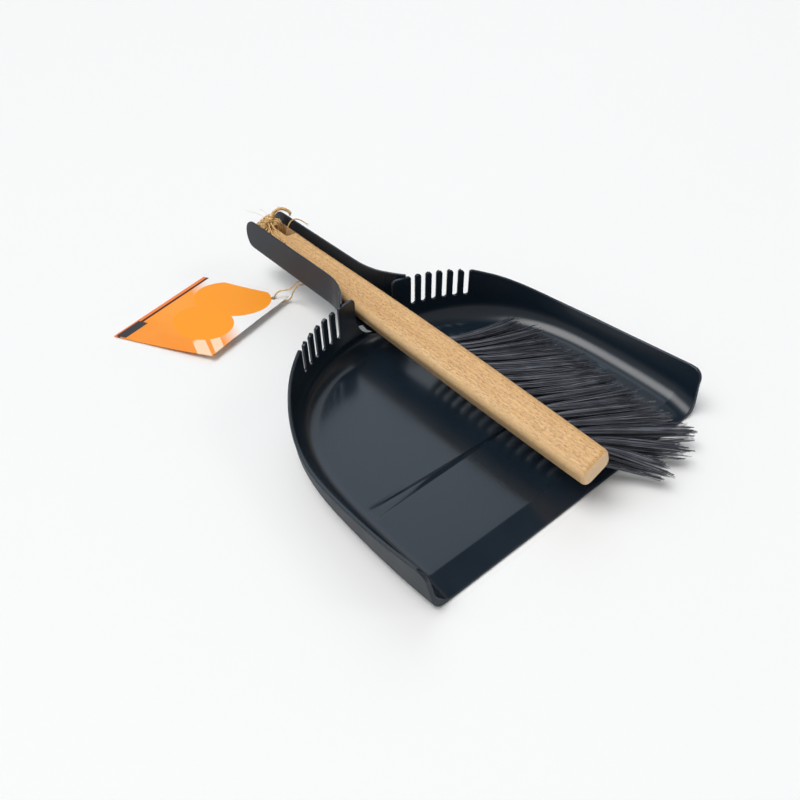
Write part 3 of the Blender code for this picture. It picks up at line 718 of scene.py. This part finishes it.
def build_base(bm):
    """Foot, underside, fillet and floor of the scoop, joined to the wall at the split."""
    columns = {1: [], -1: []}
    tops = []
    bottoms = []
    for s, inset in stations():
        down, up = base_section(s, inset)
        for side in (1, -1):
            ring = [bm.verts.new(bent(side * s, d, z)) for d, z in down + up]
            columns[side].append(ring)
        edge = len(down)
        left, right = columns[-1][-1], columns[1][-1]
        row = [bm.verts.new(p) for p in floor_row(s, inset, FLOOR_COLUMNS)[1:-1]]
        tops.append([left[edge]] + row + [right[edge]])
        bottoms.append([left[edge - 1], right[edge - 1]])
    down, up = base_section(0.0, 0.0)
    back = [bm.verts.new(bent(0.0, d, z)) for d, z in down + up]
    edge = len(down)
    for side in (1, -1):
        quads(bm, columns[side] + [back], (edge - 1,))
    quads(bm, tops)
    quads(bm, bottoms)
    for k in range(FLOOR_COLUMNS):
        bm.faces.new((*tops[-1][k:k + 2], back[edge]))
    bm.faces.new((*bottoms[-1], back[edge - 1]))
    for side in (1, -1):
        bm.faces.new(columns[side][0])
    left, right = bottoms[0]
    for k in range(FLOOR_COLUMNS):
        bm.faces.new((*tops[0][k:k + 2], right if k >= FLOOR_COLUMNS / 2 else left))
    bm.faces.new((tops[0][FLOOR_COLUMNS // 2], left, right))


def build_wall():
    """The upper wall: a flat plate with its slots and notch, sliced and bent round."""
    right = rim_line()
    ring = right + [(-a, b) for a, b in reversed(right[:-1])]
    bm = flat_plate(ring, PLATE_HALF, EDGE_ROUND)
    cuts = [s for s, inset in stations()[EDGE_STEPS:]]
    slice_plate(bm, [0.0] + cuts + [-s for s in cuts], 0)
    slice_plate(bm, (SPLIT_Z, 12.0, 13.2, 14.4, 15.6, 16.8, 21.0, 28.0, 36.0), 1)
    low = [v for v in bm.verts if v.co.y < SPLIT_Z - 1e-3]
    bmesh.ops.delete(bm, geom=low, context="VERTS")
    for vert in bm.verts:
        s, z, across = vert.co
        outer, inner = wall_depths(outline.point(abs(s)).y, z)
        share = (across + PLATE_HALF) / (2 * PLATE_HALF)
        vert.co = bent(s, outer + (inner - outer) * share, z)
    return bm


def channel_half(y):
    """Half the channel's inner width: its cheeks swing out towards the pan."""
    if y >= SWING_FROM:
        return CHANNEL_HALF
    return CHANNEL_HALF + SWING_WIDTH * ((SWING_FROM - y) / SWING_RUN) ** 2.5


def channel_point(y, w):
    """The channel's inner face: w runs across from its middle, up both cheeks."""
    half = channel_half(y)
    flat = CHANNEL_HALF - CHANNEL_CORNER
    curl = CHANNEL_CORNER * math.pi / 2
    reach = abs(w)
    if reach <= flat:
        x = reach / flat * (half - CHANNEL_CORNER)
        dip = DIP_DEPTH * max(0.0, (DIP_FROM - y) / DIP_RUN) ** 2
        z = CHANNEL_FLOOR - dip * max(0.0, 1 - (x / 10) ** 2) ** 2
    elif reach <= flat + curl:
        turn = (reach - flat) / CHANNEL_CORNER
        x = half - CHANNEL_CORNER + CHANNEL_CORNER * math.sin(turn)
        z = CHANNEL_FLOOR + CHANNEL_CORNER * (1 - math.cos(turn))
    else:
        x = half
        z = CHANNEL_FLOOR + CHANNEL_CORNER + reach - flat - curl
    follow = min(1.0, 1.12 * max(0.0, (FOLLOW_FROM - y) / FOLLOW_RUN))
    y += follow * (wall_y(x) - wall_y(channel_half(MEETING_Y)))
    return Vector((math.copysign(x, w), y, z))


def cheek_reach(z):
    """Plate coordinate of a height on a cheek."""
    return CHANNEL_HALF - CHANNEL_CORNER * (1 - math.pi / 2) + z - CHANNEL_FLOOR - CHANNEL_CORNER


def handle_outline():
    """The channel laid flat: (y, distance across), with the round end of both cheeks."""
    start = HANDLE_END - END_ROUND
    low = CHANNEL_FLOOR - CHEEK + END_ROUND
    flat = CHANNEL_HALF - CHANNEL_CORNER
    line = [(HANDLE_START, 0.0), (HANDLE_START, cheek_reach(CHEEK_TOP))]
    for k in range(11):
        turn = math.pi / 2 * (1 - k / 10)
        z = CHEEK_TOP - END_ROUND + END_ROUND * math.sin(turn)
        line.append((start + END_ROUND * math.cos(turn), cheek_reach(z)))
    for k in range(6):
        z = low - 1.5 * k
        line.append((start + math.sqrt(END_ROUND ** 2 - (z - low) ** 2), cheek_reach(z)))
    for k in range(9):
        turn = math.pi / 2 * (1 - k / 8)
        z = CHANNEL_FLOOR + CHANNEL_CORNER - (CHANNEL_CORNER + CHEEK) * math.cos(turn)
        reach = max(0.0, END_ROUND ** 2 - (z - low) ** 2)
        line.append((start + math.sqrt(reach), flat + CHANNEL_CORNER * turn))
    line.append((start, 0.0))
    return line[1:-1] + [(a, -b) for a, b in reversed(line[1:-1])]


def build_handle():
    """The open channel: a flat plate folded up into a floor and two cheeks."""
    hole = [(TIE_HOLE_Y + math.copysign(TIE_HOLE_ROUND, a) + TIE_HOLE_ROUND * a,
             TIE_HOLE_ROUND * b) for a, b in circle(24)]
    bm = flat_plate(handle_outline(), CHEEK / 2, CHEEK_EDGE, [hole])
    slice_plate(bm, (*range(190, 232, 3), *range(236, 330, 8)), 0)
    flat = CHANNEL_HALF - CHANNEL_CORNER
    across = [flat * k / 6 for k in range(7)]
    across += [flat + CHANNEL_CORNER * math.pi / 12 * k for k in range(1, 7)]
    across += [cheek_reach(z) for z in (30, 36, 42, 45)]
    slice_plate(bm, across + [-w for w in across[1:]], 1)
    nudge = 0.05
    for vert in bm.verts:
        y, w, t = vert.co
        w = math.copysign(max(abs(w), 1e-6), w)
        here = channel_point(y, w)
        along = channel_point(y + nudge, w) - channel_point(y - nudge, w)
        upward = channel_point(y, w + nudge) - channel_point(y, w - nudge)
        outward = upward.cross(along).normalized()
        if outward.z > 0.05 or outward.x * w < -0.05:
            outward = -outward
        vert.co = at(*(here + outward * (CHEEK / 2 - t)))
    return bm


def build_ribs():
    """The rib cross under the floor; its lower faces are what the pan stands on."""
    half, reach = RIB_HALF, RIB_REACH
    ring = [(-half, -half), (-half, RIB_FRONT), (half, RIB_FRONT), (half, -half),
            (reach, -half), (reach, half), (half, half), (half, RIB_BACK), (-half, RIB_BACK),
            (-half, half), (-reach, half), (-reach, -half)]
    bm = flat_plate(ring, RIB_HEIGHT / 2, 0.4)
    for vert in bm.verts:
        vert.co = (vert.co + Vector((0, 0, RIB_HEIGHT / 2))) * MM
    return bm


def build_pan(stuff):
    """The pan as one piece: wall, base, handle and ribs."""
    bm = build_wall()
    build_base(bm)
    bmesh.ops.remove_doubles(bm, verts=bm.verts, dist=3e-5)
    bmesh.ops.recalc_face_normals(bm, faces=bm.faces)
    for extra in (build_handle(), build_ribs()):
        bmesh.ops.recalc_face_normals(extra, faces=extra.faces)
        mesh = bpy.data.meshes.new("extra")
        extra.to_mesh(mesh)
        extra.free()
        bm.from_mesh(mesh)
        bpy.data.meshes.remove(mesh)
    mesh = to_mesh("pan_moulding", bm)
    mesh.set_sharp_from_angle(angle=math.radians(38))
    pan = add_piece("pan_moulding", mesh, "pan", "pan_plastic", stuff, "dust_pan")
    even = pan.modifiers.new("even_shading", "WEIGHTED_NORMAL")
    even.weight = 50
    even.keep_sharp = True
    return pan


# ---- brush -----------------------------------------------
def bar_centre(y):
    """The bar's middle line, which rises towards the handle."""
    return Vector((0, y, BAR_FRONT_Z + (BAR_BACK_Z - BAR_FRONT_Z) * y / BAR_LENGTH))


def bar_section(y, inset, steps=8):
    """A rounded rectangle, rolled about the bar's length."""
    scale = 1 - BAR_TAPER * min(1.0, ((y - BAR_SWELL_Y) / BAR_SWELL_Y) ** 2)
    corner = max(BAR_ROUND * scale - inset, 1.2)
    wide = BAR_WIDE * scale / 2 - inset - corner
    thick = BAR_THICK * scale / 2 - inset - corner
    centre = bar_centre(y)
    points = []
    for sx, sz, start in ((1, 1, 0), (-1, 1, 90), (-1, -1, 180), (1, -1, 270)):
        for k in range(steps + 1):
            turn = math.radians(start + 90 * k / steps)
            a = sx * wide + corner * math.cos(turn)
            b = sz * thick + corner * math.sin(turn)
            x = a * math.cos(BAR_ROLL) - b * math.sin(BAR_ROLL)
            z = a * math.sin(BAR_ROLL) + b * math.cos(BAR_ROLL)
            points.append(Vector((x, y, centre.z + z)))
    return points


def bar_top(x, y):
    """Height of the bar's upper side at a place."""
    best = 0.0
    ring = bar_section(min(y, BAR_LENGTH), 0.0)
    for a, b in zip(ring, ring[1:] + ring[:1]):
        low, high = sorted((a.x, b.x))
        if low <= x <= high and high - low > 1e-6:
            share = (x - a.x) / (b.x - a.x)
            best = max(best, a.z + (b.z - a.z) * share)
    return best or bar_centre(y).z


def loft(bm, rings):
    """Quads between closed rings of points, with a face on both ends."""
    made = [[bm.verts.new(at(*p)) for p in ring] for ring in rings]
    for a, b in zip(made, made[1:]):
        for i in range(len(a)):
            j = (i + 1) % len(a)
            bm.faces.new((a[i], a[j], b[j], b[i]))
    bm.faces.new(made[0][::-1])
    bm.faces.new(made[-1])


def cutter(name, bm):
    """A plain object to cut others with."""
    bmesh.ops.recalc_face_normals(bm, faces=bm.faces)
    made = bpy.data.objects.new(name, to_mesh(name, bm))
    bpy.context.scene.collection.objects.link(made)
    return made


def hole_cutter():
    """The hanging hole: a slot with round ends, straight down through the rolled bar."""
    bm = bmesh.new()
    half = HOLE_WIDTH / 2
    reach = HOLE_LENGTH / 2 - half
    loft(bm, [[(HOLE_X + half * a, HOLE_Y + math.copysign(reach, b + 1e-6 * a) + half * b, z)
               for a, b in circle(40)] for z in (10.0, 60.0)])
    return cutter("hole_cutter", bm)


def tuft_axes():
    aim = Vector((math.cos(TUFT_AIM), 0, math.sin(TUFT_AIM)))
    return aim, Vector((-aim.z, 0, aim.x))


def tuft_root(column, row):
    aim, across = tuft_axes()
    y = FIRST_TUFT_Y + (LAST_TUFT_Y - FIRST_TUFT_Y) * column / (TUFT_COLUMNS - 1)
    y += STAGGER if row == 1 else 0
    return bar_centre(y) + across * ROW_PITCH * (row - (TUFT_ROWS - 1) / 2) + aim * ROOT_DEPTH


def socket_cutter():
    """All the blind holes that hold the tufts."""
    aim, across = tuft_axes()
    side = Vector((0, 1, 0))
    bm = bmesh.new()
    for column in range(TUFT_COLUMNS):
        for row in range(TUFT_ROWS):
            root = tuft_root(column, row) - aim * 0.4
            loft(bm, [[root + aim * reach + (side * a + across * b) * SOCKET_RADIUS
                       for a, b in circle(16)] for reach in (0.0, SOCKET_DEPTH)])
    return cutter("socket_cutter", bm)


def applied(item):
    """The object's mesh with its modifiers worked in; the object is removed."""
    bpy.context.view_layer.update()
    seen = item.evaluated_get(bpy.context.evaluated_depsgraph_get())
    mesh = bpy.data.meshes.new_from_object(seen)
    bpy.data.objects.remove(item, do_unlink=True)
    return mesh


def build_bar(stuff):
    """The beech bar: eased ends, the hanging hole with a softened rim, and the sockets."""
    ends = ((0, 2.4), (0.18, 1.7), (0.5, 1.2), (0.9, 0.75), (1.4, 0.4), (2.0, 0.12), (2.8, 0.0))
    rings = [bar_section(BAR_START + y, inset) for y, inset in ends]
    rings += [bar_section(y, 0) for y in range(4, 320, 8)]
    rings += [bar_section(BAR_LENGTH - y, inset) for y, inset in reversed(ends)]
    bm = bmesh.new()
    loft(bm, rings)
    bmesh.ops.recalc_face_normals(bm, faces=bm.faces)
    blank = cutter("bar_blank", bm)
    tools = (hole_cutter(), socket_cutter())
    hole = blank.modifiers.new("hanging_hole", "BOOLEAN")
    hole.object = tools[0]
    ease = blank.modifiers.new("eased_rim", "BEVEL")
    ease.width = HOLE_EASE * MM
    ease.segments = 3
    ease.limit_method = "ANGLE"
    ease.angle_limit = math.radians(50)
    sockets = blank.modifiers.new("sockets", "BOOLEAN")
    sockets.object = tools[1]
    mesh = applied(blank)
    for tool in tools:
        bpy.data.objects.remove(tool, do_unlink=True)
    mesh.shade_smooth()
    mesh.set_sharp_from_angle(angle=math.radians(40))
    bar = add_piece("beech_bar", mesh, "brush", "beech", stuff, "brush_bar")
    even = bar.modifiers.new("even_shading", "WEIGHTED_NORMAL")
    even.keep_sharp = True
    return bar


def tuft_tips():
    """A tip for each column, front to back; the tufts at both ends splay further apart."""
    fine = smooth_route([(x, y, 0) for x, y in TIP_LINE], 0.5)
    tips = []
    for column in range(TUFT_COLUMNS):
        share = column / (TUFT_COLUMNS - 1)
        share += share * (1 - share) * (1.0 - 1.7 * share)
        tips.append(fine[round(share * (len(fine) - 1))])
    return tips


def filament(bm, path, radius):
    """A tapered three-sided hair along a path in mm."""
    rings = []
    for k, here in enumerate(path):
        before = path[max(0, k - 1)]
        after = path[min(len(path) - 1, k + 1)]
        run = (after - before).normalized()
        side = run.cross(Vector((0, 0, 1)))
        side = side.normalized() if side.length > 1e-4 else Vector((1, 0, 0))
        up = side.cross(run)
        size = radius * (1 - 0.45 * (k / (len(path) - 1)) ** 3)
        rings.append([bm.verts.new(at(*(here + side * size * a - up * size * b)))
                      for a, b in HAIR_SECTION])
    for a, b in zip(rings, rings[1:]):
        for j in range(3):
            bm.faces.new((a[j], a[(j + 1) % 3], b[(j + 1) % 3], b[j]))
    bm.faces.new(rings[-1])


def build_tuft(column, row, tip, stuff):
    """A tuft of single filaments: round in its socket, fanned and ragged at the tips."""
    aim, _ = tuft_axes()
    root = tuft_root(column, row)
    leave = root + aim * 10
    end = Vector((tip.x, tip.y, TIP_HEIGHTS[row]))
    bend = leave + aim * (end - leave).length * 0.3
    clumps = [(chance.uniform(-1, 1), chance.uniform(-1, 1), chance.uniform(-0.06, 0.04))
              for _ in range(CLUMPS)]
    bm = bmesh.new()
    for number in range(FILAMENTS):
        reach = math.sqrt((number + 0.5) / FILAMENTS)
        turn = number * GOLDEN_TURN + chance.uniform(-0.2, 0.2)
        a, b = reach * math.cos(turn), reach * math.sin(turn)
        near = min(clumps, key=lambda c: (c[0] - a) ** 2 + (c[1] - b) ** 2)
        pull = chance.uniform(0.4, 0.95)
        far_a = a + (near[0] - a) * pull + chance.gauss(0, 0.12)
        far_b = b + (near[1] - b) * pull * 0.6 + chance.gauss(0, 0.2)
        far_b = max(-1.6, min(1.6, far_b))
        last = 1.0 + near[2] + chance.uniform(-0.05, 0.02)
        wave = chance.uniform(-0.7, 0.7)
        lift = chance.uniform(-0.3, 0.5)
        path = [root.lerp(leave, t) + Vector((0, a * HAIR_ROOT, b * HAIR_ROOT))
                for t in (0.05, 0.9)]
        for k in range(1, 8):
            t = last * k / 7
            place = (1 - t) ** 2 * leave + 2 * t * (1 - t) * bend + t * t * end
            run = (2 * (1 - t) * (bend - leave) + 2 * t * (end - bend)).normalized()
            side = Vector((-run.y, run.x, 0)).normalized()
            up = run.cross(side)
            wide = HAIR_ROOT + (TIP_WIDE - HAIR_ROOT) * t
            thick = HAIR_ROOT + (TIP_THICK - HAIR_ROOT) * t
            place += side * (wide * (a + (far_a - a) * t * t) + wave * math.sin(math.pi * t))
            place += up * (thick * (b + (far_b - b) * t * t) + lift * math.sin(math.pi * t))
            place.z = max(place.z, floor_top(place.y) + 0.6)
            path.append(place)
        filament(bm, path, FILAMENT_RADIUS * chance.uniform(0.85, 1.15))
    name = "bristles_%d_%02d" % (row + 1, column + 1)
    return add_piece(name, to_mesh(name, bm), "brush", "bristle", stuff,
                     "bristle_tuft_%d_%02d" % (row + 1, column + 1))


# ---- twine and string ------------------------------------
def frames_along(points):
    """Turning-free side and up directions at each point of a path."""
    runs = []
    for k in range(len(points)):
        before, after = points[max(0, k - 1)], points[min(len(points) - 1, k + 1)]
        runs.append((after - before).normalized())
    side = runs[0].orthogonal().normalized()
    for run in runs:
        side = (side - run * side.dot(run)).normalized()
        yield run, side, run.cross(side)


def ply_tube(bm, points, radius, sides=6, taper=0.0):
    """A closed tube along points in mm; taper thins it towards its end."""
    rings = []
    count = len(points) - 1
    for k, (here, (run, side, up)) in enumerate(zip(points, frames_along(points))):
        size = radius * (1 - taper * (k / count) ** 2)
        if k in (0, count):
            size *= 0.55
        rings.append([here + (side * a + up * b) * size for a, b in circle(sides)])
    loft(bm, rings)


def rope(bm, points, radius, plies=3, lay=6.0, fuzz=1.2, taper=0.0):
    """A laid rope: plies twisted round a path, with loose fibres standing off it."""
    walked = [0.0]
    for a, b in zip(points, points[1:]):
        walked.append(walked[-1] + (b - a).length)
    frames = list(frames_along(points))
    off = radius * 0.5
    for ply in range(plies):
        line = []
        for here, gone, (run, side, up) in zip(points, walked, frames):
            turn = 2 * math.pi * (gone / (lay * radius) + ply / plies)
            thin = 1 - taper * (gone / walked[-1]) ** 2
            line.append(here + (side * math.cos(turn) + up * math.sin(turn)) * off * thin)
        ply_tube(bm, line, radius - off, 6, taper)
    for _ in range(int(fuzz * walked[-1])):
        k = chance.randrange(len(points))
        run, side, up = frames[k]
        turn = chance.uniform(0, 2 * math.pi)
        out = side * math.cos(turn) + up * math.sin(turn)
        start = points[k] + out * radius * 0.7
        length = chance.uniform(0.8, 2.2) * radius
        bow = run * chance.choice((-1, 1)) * length * chance.uniform(0.5, 1.4)
        path = [start, start + out * length * 0.35 + bow * 0.5, start + out * length * 0.5 + bow]
        filament(bm, path, radius * 0.06)


def frayed(bm, place, run, radius, count=12, length=4.0):
    """Loose fibres fanning out of a rope's cut end."""
    side = run.orthogonal().normalized()
    up = run.cross(side)
    for _ in range(count):
        turn = chance.uniform(0, 2 * math.pi)
        out = side * math.cos(turn) + up * math.sin(turn)
        reach = length * chance.uniform(0.5, 1.0)
        spread = chance.uniform(0.1, 0.5)
        start = place + out * radius * chance.uniform(0, 0.7)
        path = [start, start + run * reach * 0.5 + out * reach * spread * 0.3,
                start + run * reach + out * reach * spread]
        filament(bm, path, radius * 0.13)


def twine_route():
    """Turns through the hanging hole and round the back end of the bar."""
    centre = bar_centre(BAR_LENGTH - 8)
    slope = math.tan(BAR_ROLL)
    rise = BAR_THICK * (1 - BAR_TAPER) / 2 / math.cos(BAR_ROLL)
    route = []
    for turn in range(TWINE_TURNS):
        inner = 1.0 + 1.65 * turn
        outer = -5.6 + 2.4 * turn
        middle = (inner + outer) / 2
        over = centre.z + rise + 1.25
        under = centre.z - rise - 1.1
        low = max(under + slope * outer, TWINE_LOWEST)
        route += [(inner, 308.6, centre.z), (inner, 308.5, under + slope * inner + 1.4),
                  (inner - 0.4, 310.2, max(under + slope * inner, TWINE_LOWEST)),
                  (middle, 317, max(under + slope * middle, TWINE_LOWEST)), (outer, 323.5, low),
                  (outer, 325.6, low + 1.4), (outer, 326.0, centre.z),
                  (outer + 0.3, 325.2, over + slope * outer - 0.4),
                  (middle + 1.0, 317, over + slope * (middle + 1.0)),
                  (inner + 0.9, 309.6, over + slope * (inner + 0.9) - 0.5)]
    return route[:-1]


def fan_strand(end, drop):
    """From the knot down over the bar's top to an end, and past the edge by a drop."""
    end = Vector(end)
    start = Vector(KNOT_AT) - Vector((0, 0, 0.6))
    out = end - start
    flat = Vector((out.x, out.y, 0)).normalized()
    points = [start, start + flat * 1.6 - Vector((0, 0, 0.4))]
    for t in (0.35, 0.6, 0.82, 1.0):
        x, y = start.x + out.x * t, start.y + out.y * t
        lift = 0.75 + 1.2 * (1 - t)
        points.append(Vector((x, y, max(bar_top(x, y) + lift, end.z))))
    last = points[-1]
    if drop:
        points.append(last + flat * 0.5 - Vector((0, 0, 1.6)))
        points.append(last + flat * 0.4 - Vector((0, 0, drop)))
    return points


def build_twine(stuff):
    """Twine wound through the hole, with its knot, the fan of strands, the bow and the tail."""
    def finish(name, bm, node):
        add_piece(name, to_mesh(name, bm), "brush", "jute", stuff, node)

    bm = bmesh.new()
    rope(bm, smooth_route(twine_route(), 0.55), TWINE_RADIUS, lay=7)
    finish("twine_turns", bm, "hanging_twine")

    bm = bmesh.new()
    knot = Vector(KNOT_AT)
    for tilt, swing, size in ((0.3, 0.0, 1.7), (1.2, 0.9, 1.6), (1.9, 2.0, 1.65), (0.8, 2.7, 1.5)):
        ring = []
        for k in range(25):
            turn = 2 * math.pi * k / 24
            spot = Vector((math.cos(turn) * 1.25, math.sin(turn), 0)) * size
            spot.rotate(Euler((tilt, swing * 0.4, swing)))
            ring.append(knot + Vector((spot.x, spot.y, spot.z * 0.62)))
        rope(bm, smooth_route(ring, 0.5), 0.72, lay=7, fuzz=0.8)
    for end, drop in FAN_ENDS:
        rope(bm, smooth_route(fan_strand(end, drop), 0.5), 0.82, plies=2, lay=11, fuzz=1.0)
    rope(bm, smooth_route(LONG_LOOP, 0.5), 0.65, plies=2, lay=11, fuzz=0.8)
    for path in LOOSE_FIBRES:
        filament(bm, smooth_route(path, 0.8), 0.13)
    finish("twine_knotted", bm, "twine_knot")

    bm = bmesh.new()
    route = smooth_route(BOW_ROUTE, 0.5)
    rope(bm, route, BOW_RADIUS * 1.3, plies=4, lay=5.5, fuzz=2.0)
    frayed(bm, route[-1], (route[-1] - route[-3]).normalized(), BOW_RADIUS, 14, 2.4)
    finish("twine_bow_end", bm, "twine_bow")

    bm = bmesh.new()
    route = smooth_route(TAIL_ROUTE, 0.4)
    rope(bm, route, TAIL_RADIUS, plies=3, lay=7, fuzz=1.6)
    frayed(bm, route[-1], (route[-1] - route[-4]).normalized(), TAIL_RADIUS, 12, 3.4)
    finish("twine_tail_end", bm, "twine_tail")


def build_string(stuff):
    """The card's string, from the tie hole through the card and back into the hole."""
    bm = bmesh.new()
    route = smooth_route(STRING_ROUTE, 0.6)
    rope(bm, route, STRING_RADIUS, plies=3, lay=7, fuzz=0.7)
    piece = add_piece("card_cord", to_mesh("card_cord", bm), "pan", "jute", stuff, "card_string")
    path = [at(*p) for p in route]


# ---- card ------------------------------------------------
def card_point(u, v):
    """A point of the card's middle: u from the fold's left to its right, v away from it."""
    a, b, c, d = (Vector(corner) for corner in CARD_CORNERS)
    left, right = a.lerp(c, v), b.lerp(d, v)
    height = a.z + (c.z - a.z) * v * v + 0.5 * math.sin(math.pi * u) * v ** 3
    place = left.lerp(right, u)
    return Vector((place.x, place.y, height))


def build_card(stuff):
    """Printed card: a bent sheet of real thickness, with a punched hole for its string."""
    bm = bmesh.new()
    wide, deep = CARD_GRID
    rows = [[bm.verts.new(at(*card_point(j / wide, k / deep))) for j in range(wide + 1)]
            for k in range(deep + 1)]
    quads(bm, rows)
    bmesh.ops.recalc_face_normals(bm, faces=bm.faces)
    blank = bpy.data.objects.new("card_blank", to_mesh("card_blank", bm))
    bpy.context.scene.collection.objects.link(blank)
    shell = blank.modifiers.new("thickness", "SOLIDIFY")
    shell.thickness = CARD_THICK * MM
    shell.offset = 0
    bm = bmesh.new()
    x, y, _ = CARD_HOLE
    loft(bm, [[(x + CARD_PUNCH * a, y + CARD_PUNCH * b, z) for a, b in circle(32)]
              for z in (-4.0, 12.0)])
    punch = cutter("punch", bm)
    hole = blank.modifiers.new("hole", "BOOLEAN")
    hole.object = punch
    mesh = applied(blank)
    bpy.data.objects.remove(punch, do_unlink=True)
    mesh.shade_smooth()
    mesh.set_sharp_from_angle(angle=math.radians(40))
    return add_piece("printed_card", mesh, "pan", "card", stuff, "hang_card")


def card_look():
    """Printed card: orange fading to white, a dark fold line, a tab and plain shapes."""
    look = Look("card", (0.98, 0.33, 0.02), 0.5)
    look.shader.inputs["Specular IOR Level"].default_value = 0.3
    where = look.add("TexCoord").outputs["Object"]
    a, b, c, d = (at(*corner) for corner in CARD_CORNERS)

    def beyond(first, second):
        """Distance in mm to the left of the line from one point to another."""
        run = (second - first).normalized()
        normal = Vector((-run.y, run.x, 0))
        return look.math("SUBTRACT", look.dot(where, normal / MM), normal.dot(first) / MM)

    def both(one, two):
        return look.math("MULTIPLY", one, two)

    def band(value, low, high, soft=0.25):
        return both(look.span(value, low - soft, low + soft),
                    look.span(value, high + soft, high - soft))

    def oval(centre, long, short, angle):
        middle = at(*centre, 0)
        turn = math.radians(angle)
        total = 0.0
        for axis, half in ((Vector((math.cos(turn), math.sin(turn), 0)), long),
                           (Vector((-math.sin(turn), math.cos(turn), 0)), short)):
            off = look.math("SUBTRACT", look.dot(where, axis / (half * MM)),
                            axis.dot(middle) / (half * MM))
            total = look.math("ADD", total, look.math("MULTIPLY", off, off))
        return look.span(total, 1.015, 0.985)

    fade = beyond(a.lerp(b, 0.92), c.lerp(d, 0.28))
    from_fold = beyond(b, a)
    from_left = beyond(a, c)
    from_front = beyond(c, d)
    cloud = look.noise(look.place((1, 1, 1)), 26, 2)
    orange = look.mix(look.span(from_left, 0, 45), (0.93, 0.27, 0.02, 1), (0.98, 0.34, 0.03, 1))
    orange = look.mix(look.span(cloud, 0.35, 0.7, 0.0, 0.4), orange, (0.99, 0.40, 0.07, 1))
    paint = look.mix(look.span(fade, -9, 7), orange, (0.90, 0.89, 0.88, 1))
    for start, tilt, low, high in STRIPES:
        edge = at(*start, 0)
        across = beyond(edge, edge + Vector((*tilt, 0)))
        stripe = both(band(across, low, high), look.span(from_front, 26, 22))
        paint = look.mix(stripe, paint, (0.96, 0.68, 0.45, 1))
    for centre, long, short, angle in OVALS:
        paint = look.mix(oval(centre, long, short, angle), paint, (1.0, 0.335, 0.01, 1))
    strip = look.span(from_fold, 5.0, 4.6)
    paint = look.mix(strip, paint, (0.86, 0.22, 0.04, 1))
    paint = look.mix(band(from_fold, 2.9, 5.0), paint, (0.055, 0.004, 0.006, 1))
    tab = both(band(from_fold, 1.2, 9.2), band(from_left, 0.8, 22))
    paint = look.mix(tab, paint, (0.035, 0.035, 0.042, 1))
    look.colour(paint)
    fibre = look.noise(look.place((1, 1, 1)), 1500, 2)
    look.rough(look.span(fibre, 0.3, 0.7, 0.36, 0.5))
    look.bump(fibre, 0.08, 0.0002)
    return look.material


# ---- camera, floor and lights ----------------------------
def place_camera():
    """The camera, aimed with a slight roll."""
    data = bpy.data.cameras.new("camera")
    data.sensor_width = 36
    data.lens = CAMERA_LENS
    data.clip_start = 0.01
    data.clip_end = 50
    camera = bpy.data.objects.new("camera", data)
    bpy.context.scene.collection.objects.link(camera)
    ahead = (CAMERA_AIM - CAMERA_PLACE).normalized()
    right = ahead.cross(Vector((0, 0, 1))).normalized()
    up = right.cross(ahead)
    level = right * math.cos(CAMERA_ROLL) + up * math.sin(CAMERA_ROLL)
    top = up * math.cos(CAMERA_ROLL) - right * math.sin(CAMERA_ROLL)
    turn = Matrix((level, top, -ahead)).transposed().to_4x4()
    turn.translation = CAMERA_PLACE
    camera.matrix_world = turn
    bpy.context.scene.camera = camera


def build_floor():
    """A wide pale floor that the object stands on."""
    look = Look("studio_floor", (0.9, 0.9, 0.895), 0.7)
    bm = bmesh.new()
    bmesh.ops.create_grid(bm, x_segments=2, y_segments=2, size=4)
    floor = bpy.data.objects.new("studio_floor", to_mesh("studio_floor", bm))
    bpy.context.scene.collection.objects.link(floor)
    floor.data.materials.append(look.material)


def direction(around, above):
    """Unit vector from its angle round from +X and its height above the level, in degrees."""
    around, above = math.radians(around), math.radians(above)
    return (math.cos(around) * math.cos(above), math.sin(around) * math.cos(above),
            math.sin(above))


def light_studio():
    """A plain studio: pale surroundings, a big light overhead, a soft box and a small lamp."""
    world = bpy.data.worlds.new("studio")
    bpy.context.scene.world = world
    world.use_nodes = True
    sky = Nodes(world.node_tree)
    way = sky.add("TexCoord").outputs["Generated"]
    shade = sky.span(sky.dot(way, direction(-12, 50)), 0.80, 0.93, 0.42, 0.10)
    overhead = sky.span(sky.dot(way, direction(144, 66)), 0.90, 0.98, 0.0, 5.6)
    lamp = sky.span(sky.dot(way, direction(-40, 34)), 0.990, 0.996, 0.0, 5.0)
    box = sky.span(sky.dot(way, direction(42, 43)), 0.90, 0.96)
    total = sky.math("ADD", sky.math("ADD", shade, overhead), lamp)
    total = sky.math("ADD", total, sky.math("MULTIPLY", box, 0.85))
    back = world.node_tree.nodes["Background"]
    sky.put(back.inputs["Color"], sky.mix(box, (1, 1, 1, 1), (0.90, 1.0, 1.10, 1)))
    sky.put(back.inputs["Strength"], total)
    bpy.context.scene.view_settings.view_transform = "Standard"


place_camera()
build_floor()
light_studio()
jute = jute_look()
build_string(jute)
build_pan(pan_look())
build_bar(beech_look())
bristle = bristle_look()
tips = tuft_tips()
for column in range(TUFT_COLUMNS):
    for row in range(TUFT_ROWS):
        build_tuft(column, row, tips[column], bristle)
build_twine(jute)
build_card(card_look())
